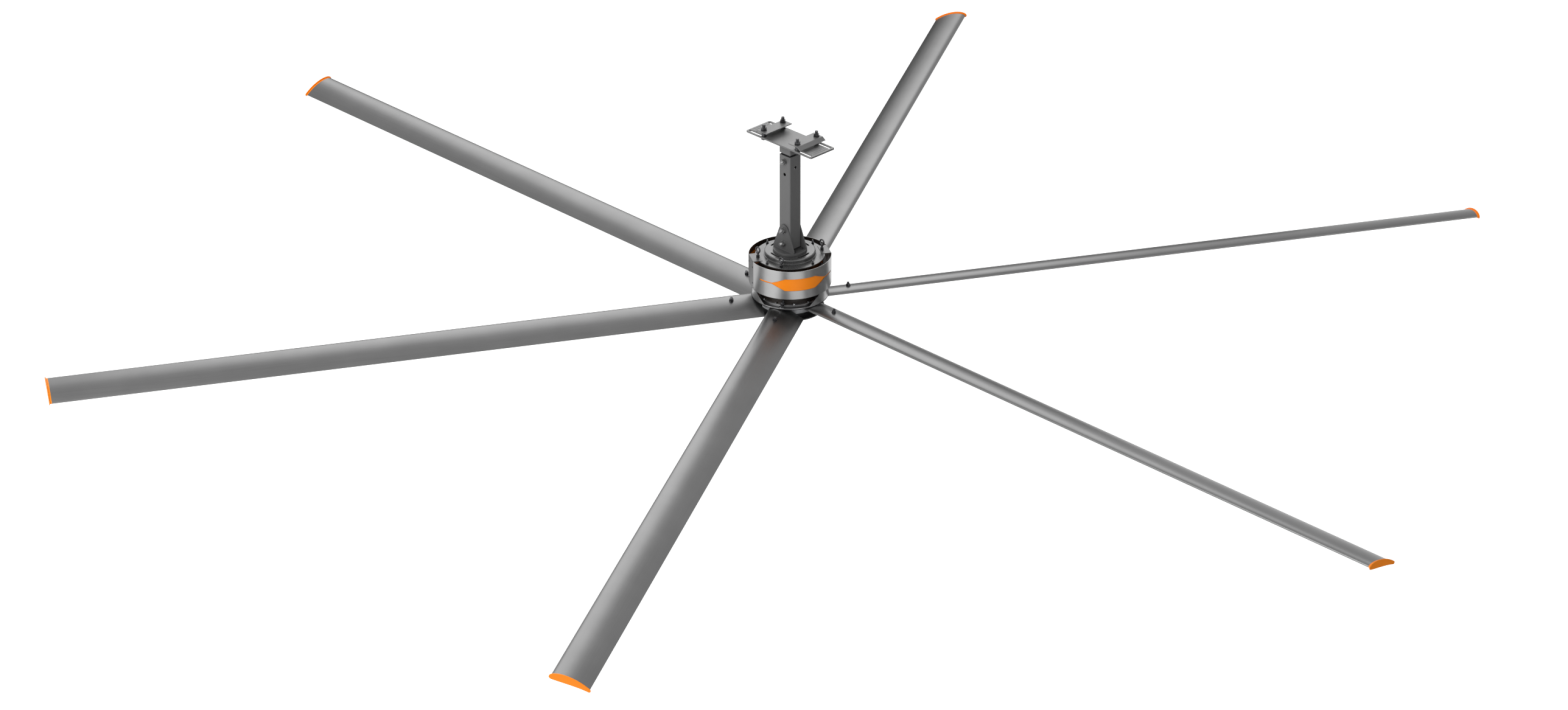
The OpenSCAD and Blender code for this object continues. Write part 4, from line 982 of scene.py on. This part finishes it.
class FAN_OT_shroud(bpy.types.Operator):
    """Two shroud halves with badge openings, two badge panels, two brackets and their screws."""

    bl_idname = "fan.shroud"
    bl_label = "Shroud"

    def execute(self, context):
        for name, turn in (("front", -30), ("rear", 150)):
            half = placed(self.half(), turn_z(turn), f"shroud_shell_{name}")
            dress(half, None, "motor", "sheet_silver", f"shroud_{name}")
            foot = BADGE_FOOT - 10
            profile = rounded_profile(201.5, 202.5, foot, foot + 84, 0.3)
            panel = placed(part_turned("panel", profile, -68, 136, 96), turn_z(turn),
                           f"badge_plain_{name}")
            dress(panel, "orange", "motor", "orange_plastic", f"badge_{name}")
        for letter, turn in BRACKET_TURNS.items():
            bracket = placed(self.bracket(), turn_z(turn), f"shroud_link_{letter}")
            dress(bracket, "bracket", "motor", "sheet_silver", f"shroud_bracket_{letter}")
        places = [turn_z(turn) @ at(FACE_X, y, SHROUD_FOOT + z) @ turn_y(90)
                  for turn in BRACKET_TURNS.values() for y in (-36, 36) for z in (32, 118)]
        hardware(pan_screw(), places,
                 "shroud_fixing", "bolt", "motor", "bolt_dark", "shroud_screws")
        return {"FINISHED"}

    def half(self):
        """A curved sheet with its badge opening and an end tab on each side."""
        profile = rounded_profile(SHROUD_R - 2, SHROUD_R, SHROUD_FOOT, SHROUD_TOP, 0.6)
        half = part_turned("half", profile, -76.5, 153, 102)
        corners = [(SHROUD_R * math.sin(math.radians(a)), lower, upper)
                   for a, lower, upper in BADGE_PLACES]
        outline = [(y, BADGE_FOOT + lower) for y, lower, _ in corners]
        outline += [(y, BADGE_FOOT + upper) for y, _, upper in reversed(corners)]
        # Half the opening's width is long enough to pass through the sheet
        length = corners[-1][0]
        cut(half, run_x("badge", outline, 60, length))
        self.paint_inner_shade(half)
        # The tabs behind the brackets get the drum's dark paint too, as painted shade
        tabs = [painted(self.tab(side), "drum") for side in (-1, 1)]
        return joined("half", [half] + [ease(tab, 0.5) for tab in tabs])

    def paint_inner_shade(self, half):
        """Brushed metal outside, and the drum's dark paint on the faces that look inwards, as
        painted shade and painted reflection of the dark drum inside the shroud.
        """
        painted(half, "sheet")
        half.data.materials.append(FINISHES["drum"])
        for face in half.data.polygons:
            flat = Vector((face.center.x, face.center.y, 0))
            inner = flat.length < (SHROUD_R - 1) * MM
            inwards = face.normal.dot(flat) < -0.5 * flat.length and inner
            face.material_index = 1 if inwards else 0

    def tab(self, side):
        """The flat tab at a half's end, behind the bracket."""
        face, edge, wide = FACE_X - 4, FACE_HALF + 3, 26
        y1, y2 = (-edge, -edge + wide) if side > 0 else (edge - wide, edge)
        outline = [(face, y1), (face + 2, y1), (face + 2, y2), (face, y2)]
        tab = prism("tab", outline, SHROUD_FOOT, SHROUD_TOP - SHROUD_FOOT - 4)
        return placed(tab, turn_z(90 * side))

    def bracket(self):
        """Face plate with a top tab, folded from one sheet."""
        face, edge, corner = FACE_X, FACE_HALF - 3, 13
        foot, top = SHROUD_FOOT, SHROUD_TOP
        outline = [(-edge, foot + corner), (-edge + corner, foot), (edge - corner, foot),
                   (edge, foot + corner), (edge, top), (-edge, top)]
        plate = run_x("face", outline, face, -2)
        fold = arc_points((face - 3, FLANGE_TOP - 1), 3, 0, 90, 5)[::-1]
        section = [(face - 48, FLANGE_TOP), (face - 48, FLANGE_TOP + 2)] + fold
        section += [(face, FLANGE_TOP - 4), (face - 2, FLANGE_TOP - 4)]
        lid = run_y("lid", section, -edge, 2 * edge)
        return joined("bracket", [ease(plate, 0.5), ease(lid, 0.4)])


class FAN_OT_rotor(bpy.types.Operator):
    """Drum, slotted top shield, foot ring, hub disc and skirt."""

    bl_idname = "fan.rotor"
    bl_label = "Rotor and hub"

    def execute(self, context):
        seat = DISC_TOP + 15
        drum = joined("drum_shell", [
            ring("drum_shell", 142, 152, DISC_TOP, high("rotor_drum").z, 0.8),
            ring("web", BORE_R, 144, seat, seat + 6, 0.8),
            ring("boss", BORE_R, BOSS_R, seat, seat + 36, 1.0)])
        dress(drum, "drum", "rotor", "drum_dark", "rotor_drum")
        self.shield()
        foot_top = DISC_TOP + 10
        foot_ring = ring("foot_band", 152, 167, DISC_TOP, foot_top, 0.8)
        dress(foot_ring, "sheet", "rotor", "sheet_silver", "foot_ring")
        places = [turn_z(t + m) @ at(159.5, 0, foot_top) for t in BLADE_TURNS for m in (22.5, -11)]
        hardware(hex_screw(6, 8), places,
                 "ring_fixing", "bright", "rotor", "bright_steel", "ring_screws")
        disc = ring("hub_plate", BORE_R, 192, DISC_FOOT, DISC_TOP, 0.6)
        # The disc gets the cover's black paint as painted shade under the shroud; its slot is plate
        # grey
        dress(disc, "cover", "rotor", "plate_grey", "hub_disc")
        self.skirt()
        return {"FINISHED"}

    def shield(self):
        """The drum's lid, over a ring with twelve groups of eight vent slots."""
        top, foot = high("rotor_top_shield").z, high("rotor_drum").z
        plate = ring("lid", 38, 160, top - 3, top, 0.8)
        vents = ring("vents", 150, 160, foot, top - 2, 0.4)
        mid = (foot + top - 3) / 2
        outline = [(148, -1.8), (162, -1.8), (162, 1.8), (148, 1.8)]
        turns = [(group + 0.5) * 30 + (k - 3.5) * 2.5 for group in range(12) for k in range(8)]
        cut(vents, *[placed(prism("slot", outline, mid - 6, 12), turn_z(turn)) for turn in turns])
        boss = ring("boss", BORE_R, BOSS_R, top - 28, top - 1, 0.8)
        shield = joined("vent_shield", [plate, vents, boss])
        dress(shield, "drum", "rotor", "drum_dark", "rotor_top_shield")

    def skirt(self):
        """Low at the front and back, with a straight slope up to its two high sides."""
        top = high("hub_skirt").z
        skirt = ring("hub_skirt_band", 189, 191, DISC_TOP, top, 0.5, steps=192)
        lip = DISC_TOP + 4
        outline = [(-112, lip), (112, lip), (175, top + 1), (-175, top + 1)]
        cut(skirt, placed(run_x("notch", outline, -220, 440), turn_z(-51)))
        dress(skirt, "sheet", "rotor", "sheet_silver", "hub_skirt")


class FAN_OT_hub_foot(bpy.types.Operator):
    """Hub core with its sockets, the spars, the bottom cover and its rim."""

    bl_idname = "fan.hub_foot"
    bl_label = "Hub core and cover"

    def execute(self, context):
        core = ring("core_casting", 95, 155, CORE_FOOT, DISC_FOOT, 1.5)
        socket = rounded_box(25.2, 8.2, 2, 3)
        cut(core, *[placed(run_x("socket", socket, 60, 140), at_blade(turn))
                    for turn in BLADE_TURNS])
        dress(core, "cast", "rotor", "cast_grey", "hub_core")
        spar = run_x("spar", rounded_box(25, 8, 2, 4), 100, 330)
        cut(spar, *blade_bores())
        spars = copies(ease(spar, 0.5), [at_blade(turn) for turn in BLADE_TURNS], "spar_bars")
        dress(spars, "bright", "rotor", "bright_steel", "blade_spars")
        hardware(hex_screw(8, 20), [turn_z(t) @ at(125, 0, DISC_TOP) for t in BETWEEN_TURNS],
                 "core_fixing", "bolt", "rotor", "bolt_dark", "core_screws")
        self.cover()
        return {"FINISHED"}

    def cover(self):
        """A dished cover with its rim and screws."""
        h = CORE_FOOT - COVER_FOOT
        profile = [(0, 0)] + arc_points((163, 1.5), 1.5, -90, 0, 3) + [(164.5, 4), (143.5, 4)]
        profile += arc_points((143.5, 5.5), 1.5, 270, 180, 3)
        profile += [(142, h), (123, h), (123, 4), (0, 4)]
        cover = turned("spun_cover", [(r, COVER_FOOT + z) for r, z in profile])
        dress(cover, "cover", "rotor", "cover_black", "bottom_cover")
        rim = ring("cover_band", 165, 171, COVER_FOOT, COVER_FOOT + 6, 1.5, corner_steps=5)
        dress(rim, "sheet", "rotor", "plate_grey", "cover_rim")
        places = [turn_z(t) @ at(128, 0, COVER_FOOT) @ turn_x(180) for t in BETWEEN_TURNS]
        hardware(pan_screw(), places,
                 "cover_fixing", "bolt", "rotor", "bolt_dark", "cover_screws")


class FAN_OT_blades(bpy.types.Operator):
    """Six extruded blades with their hollows."""

    bl_idname = "fan.blades"
    bl_label = "Blades"

    def execute(self, context):
        end = TIP_R - (sizes().cap_plate + sizes().collar) / MM
        walls = [(24, SPAR_X - SPAR_HALF - 2), (SPAR_X - SPAR_HALF, SPAR_X + SPAR_HALF),
                 (SPAR_X + SPAR_HALF + 2, CHORD - 9)]
        # Short steps round the two bolt holes, and twelve even ones to the tip
        places = [ROOT_R, 170, 186, 290, 310] + [310 + (end - 310) * k / 12 for k in range(1, 13)]
        pushes = [(b - a, 0, 0) for a, b in zip(places, places[1:])]
        blade = extruded("blade", across(blade_outline(), ROOT_R), pushes,
                         [across(hollow(*wall), ROOT_R) for wall in walls])
        cut(blade, *blade_bores(40))
        keep_place(blade)
        one_per_blade(blade, "blade_extrusion", "blade", "blade_silver", "blade", 24)
        return {"FINISHED"}


class FAN_OT_end_caps(bpy.types.Operator):
    """Six moulded end caps with a rounded plate, a groove, a collar and a plug."""

    bl_idname = "fan.end_caps"
    bl_label = "End caps"

    def execute(self, context):
        plate, proud = sizes().cap_plate / MM, sizes().cap_proud / MM
        collar = sizes().collar / MM
        # Loops as (distance in from the tip, how far the outline stands proud)
        rim = [(0, proud - 2.2), (0.15, proud - 1.2), (0.6, proud - 0.45), (1.3, proud - 0.05),
               (plate - 1.3, proud), (plate - 0.6, proud - 0.4), (plate - 0.1, proud - 1.1),
               (plate, proud - 2), (plate, 1.6), (plate - 1, 1.2), (plate - 1, 0.4), (plate, 0),
               (plate + collar - 0.2, 0), (plate + collar, -0.3), (plate + collar, -1.6)]
        outline = blade_outline(20, 16, 7, 18)
        cap = lofted("cap", [across(grown(outline, by), TIP_R - depth) for depth, by in rim])
        play = 0.3
        half = SPAR_HALF - play
        wall = hollow(SPAR_X - half, SPAR_X + half, wall=BLADE_WALL + play)
        plug = extruded("plug", across(wall, TIP_R - plate - collar - 24), [(25, 0, 0)])
        one_per_blade(joined("cap", [cap, plug]), "tip_cap", "orange", "orange_plastic",
                      "end_cap", 50)
        return {"FINISHED"}


class FAN_OT_blade_fixings(bpy.types.Operator):
    """Hub bolts with taper washers and two nuts each, and blade bolts."""

    bl_idname = "fan.blade_fixings"
    bl_label = "Blade bolts"

    def execute(self, context):
        d = BLADE_BOLT_D
        seat = under_y(SPAR_SHARE + ACROSS * d / 2 / CHORD) - BLADE_H / 2
        hub = bolt(d, 66 - seat, [], [28.2 - seat, 44 - seat], FINE_PITCH)
        flat = ring("flat", d / 2, 13.5, 25 - seat, 28.1 - seat, 0.5, steps=40)
        cone = ring("cone", d / 2, 9.8, 16 - seat, 26 - seat, 0.4, steps=32)
        hub = joined("hub_bolt", [painted(hub, "bolt"), painted(flat, "bright"),
                                  painted(cone, "bright")])
        hardware(hub, [at_blade(t) @ at(HUB_BOLT_R, 0, seat) for t in BLADE_TURNS],
                 "hub_fixing", None, "rotor", "bolt_dark", "hub_bolts")
        grip = BLADE_H / 2 - seat
        end = grip + WASHER_T * d + NUT_H * d + 9
        hardware(bolt(d, end, [grip], [grip + 2.3], FINE_PITCH),
                 [at_blade(t) @ at(BLADE_BOLT_R, 0, seat) for t in BLADE_TURNS],
                 "blade_fixing", "bolt", "rotor", "bolt_dark", "blade_bolts")
        return {"FINISHED"}


class FAN_OT_motor_inside(bpy.types.Operator):
    """Finishes for the frame's own pieces inside the motor."""

    bl_idname = "fan.motor_inside"
    bl_label = "Motor inside"

    def execute(self, context):
        kept = {
            "motor_shaft": "ground", "stator_core": "lamination", "stator_windings": "copper",
            "bearing_inner_rings": "ground", "bearing_outer_rings": "ground",
            "bearing_balls": "ground", "shaft_nut": "bolt", "rotor_magnets": "magnet",
        }
        for name, finish_name in kept.items():
            painted(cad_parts[name], finish_name)
        return {"FINISHED"}


# ---- the stage; lengths are in metres ----

# Soft panels as (name, place, width, height, watts)
PANELS = [
    ("key_panel", (0.5, -8.5, 5.0), 6.5, 6.5, 880),
    ("back_panel", (-6.2, 4.5, 5.6), 7.5, 9.0, 424),
    ("side_panel", (9.0, 1.5, 1.5), 4.0, 4.0, 90),
]
# Dark cards as (name, place, width, height)
FLAGS = [
    ("side_flag", (3.4, 2.2, -2.8), 7.0, 3.6),
    ("horizon_flag", (-6.7, 6.0, -1.1), 8.0, 3.0),
]
PANEL_AIM, FLAG_AIM = Vector((0, 0, -0.8)), Vector((0, 0, -0.7))
CAMERA_AIM, CAMERA_FAR = Vector((0, 0, -0.868)), 20.042


def seen_white(tree, inner):
    """Mixes a shader with plain white for camera, glossy and transmission rays."""
    path = node(tree, "ShaderNodeLightPath")
    either = node(tree, "ShaderNodeMath", {
        0: path.outputs["Is Camera Ray"], 1: path.outputs["Is Glossy Ray"]}, operation="MAXIMUM")
    seen = node(tree, "ShaderNodeMath", {
        0: either.outputs[0], 1: path.outputs["Is Transmission Ray"]}, operation="MAXIMUM")
    return node(tree, "ShaderNodeMixShader", {0: seen.outputs[0], 1: inner[0], 2: inner[1]})


def direction(turn, rise):
    """The direction turned to the right of the front, and raised, by degrees."""
    turn, rise = math.radians(turn), math.radians(rise)
    return Vector((math.sin(turn) * math.cos(rise), -math.cos(turn) * math.cos(rise),
                   math.sin(rise)))


class FAN_OT_stage(bpy.types.Operator):
    """Floor, soft light, white surroundings and the camera."""

    bl_idname = "fan.stage"
    bl_label = "Stage"

    def execute(self, context):
        self.floor()
        self.surroundings()
        self.lamps()
        self.flags()
        self.camera()
        context.scene.view_settings.view_transform = "Standard"
        return {"FINISHED"}

    def floor(self):
        clear_selection()
        level = cad_low.z - sizes().floor_drop
        bpy.ops.mesh.primitive_plane_add(size=120, location=(0, 0, level))
        floor = settle(bpy.context.object)
        floor.name = "studio_floor"
        made, tree = new_material("pale_floor")
        place = node(tree, "ShaderNodeTexCoord").outputs["Object"]
        noise = node(tree, "ShaderNodeTexNoise", {"Vector": place, "Scale": 2.0})
        colour = node(tree, "ShaderNodeMix", {
            "Factor": noise.outputs["Fac"], "A": (0.78, 0.78, 0.78, 1), "B": (0.82, 0.82, 0.82, 1)},
            data_type="RGBA")
        matt = node(tree, "ShaderNodeBsdfDiffuse", {"Color": colour.outputs[2]})
        glow = node(tree, "ShaderNodeEmission", {"Color": (1, 1, 1, 1), "Strength": 0.9})
        lit = node(tree, "ShaderNodeAddShader", {0: matt.outputs[0], 1: glow.outputs[0]})
        mixed = seen_white(tree, (matt.outputs[0], lit.outputs[0]))
        # Clear from below, so that the fan's underside can be looked at
        below = node(tree, "ShaderNodeNewGeometry").outputs["Backfacing"]
        clear = node(tree, "ShaderNodeBsdfTransparent")
        either = node(tree, "ShaderNodeMixShader", {
            0: below, 1: mixed.outputs[0], 2: clear.outputs[0]})
        node(tree, "ShaderNodeOutputMaterial", {"Surface": either.outputs[0]})
        floor.data.materials.append(made)

    def surroundings(self):
        world = bpy.data.worlds.new("studio_white")
        bpy.context.scene.world = world
        world.use_nodes = True
        tree = world.node_tree
        tree.nodes.clear()
        soft, white = [
            node(tree, "ShaderNodeBackground", {"Color": (1, 1, 1, 1), "Strength": strength})
            for strength in (0.3, 1.0)]
        mixed = seen_white(tree, (soft.outputs[0], white.outputs[0]))
        node(tree, "ShaderNodeOutputWorld", {"Surface": mixed.outputs[0]})

    def lamps(self):
        """Soft panels, all turned to the hub."""
        for name, place, wide, tall, watts in PANELS:
            lamp = bpy.data.lights.new(name, "AREA")
            lamp.shape, lamp.size, lamp.size_y, lamp.energy = "RECTANGLE", wide, tall, watts
            holder = bpy.data.objects.new(name, lamp)
            bpy.context.scene.collection.objects.link(holder)
            holder.location = place
            aim = PANEL_AIM - Vector(place)
            holder.rotation_euler = aim.to_track_quat("-Z", "Y").to_euler()

    def flags(self):
        """Dark cards that only reflections see, so that bright metal has dark bands to show."""
        made, tree = new_material("flag_cloth")
        cloth = node(tree, "ShaderNodeBsdfDiffuse", {"Color": (0.01, 0.01, 0.01, 1)})
        node(tree, "ShaderNodeOutputMaterial", {"Surface": cloth.outputs[0]})
        for name, place, wide, tall in FLAGS:
            clear_selection()
            aim = FLAG_AIM - Vector(place)
            bpy.ops.mesh.primitive_plane_add(
                size=1, location=place, rotation=aim.to_track_quat("Z", "Y").to_euler())
            flag = bpy.context.object
            flag.scale = (wide, tall, 1)
            settle(flag)
            flag.name = name
            flag.data.materials.append(made)
            flag.visible_camera = flag.visible_diffuse = flag.visible_shadow = False
            flag.visible_transmission = False

    def camera(self):
        lens = bpy.data.cameras.new("camera")
        lens.lens, lens.sensor_width, lens.clip_end = 93.02, 36, 200
        holder = bpy.data.objects.new("camera", lens)
        bpy.context.scene.collection.objects.link(holder)
        holder.location = CAMERA_AIM + direction(45, 27.1135) * CAMERA_FAR
        back = direction(45.0950, 27.9141)
        holder.rotation_euler = (-back).to_track_quat("-Z", "Y").to_euler()
        bpy.context.scene.camera = holder


OPERATORS = [
    FAN_OT_finishes, FAN_OT_beam_plate, FAN_OT_clamps, FAN_OT_downrod, FAN_OT_clevis,
    FAN_OT_motor_top, FAN_OT_shroud, FAN_OT_rotor, FAN_OT_hub_foot, FAN_OT_blades,
    FAN_OT_end_caps, FAN_OT_blade_fixings, FAN_OT_motor_inside, FAN_OT_stage,
]


class FAN_PT_panel(bpy.types.Panel):
    """Lists the steps and the sizes."""

    bl_idname = "FAN_PT_panel"
    bl_label = "Ceiling Fan"
    bl_space_type = "VIEW_3D"
    bl_region_type = "UI"
    bl_category = "Ceiling Fan"

    def draw(self, context):
        for group in (context.scene.fan_sizes, context.scene.fan_colours):
            for name in group.__annotations__:
                self.layout.prop(group, name)
        for operator in OPERATORS:
            self.layout.operator(operator.bl_idname)


CLASSES = [FanSizes, FanColours] + OPERATORS + [FAN_PT_panel]


def register():
    for made in CLASSES:
        bpy.utils.register_class(made)
    bpy.types.Scene.fan_sizes = PointerProperty(type=FanSizes)
    bpy.types.Scene.fan_colours = PointerProperty(type=FanColours)


def unregister():
    del bpy.types.Scene.fan_sizes, bpy.types.Scene.fan_colours
    for made in reversed(CLASSES):
        bpy.utils.unregister_class(made)


def main():
    register()
    for operator in OPERATORS:
        group, name = operator.bl_idname.split(".")
        getattr(getattr(bpy.ops, group), name)()
    clear_selection()


if __name__ == "__main__":
    main()
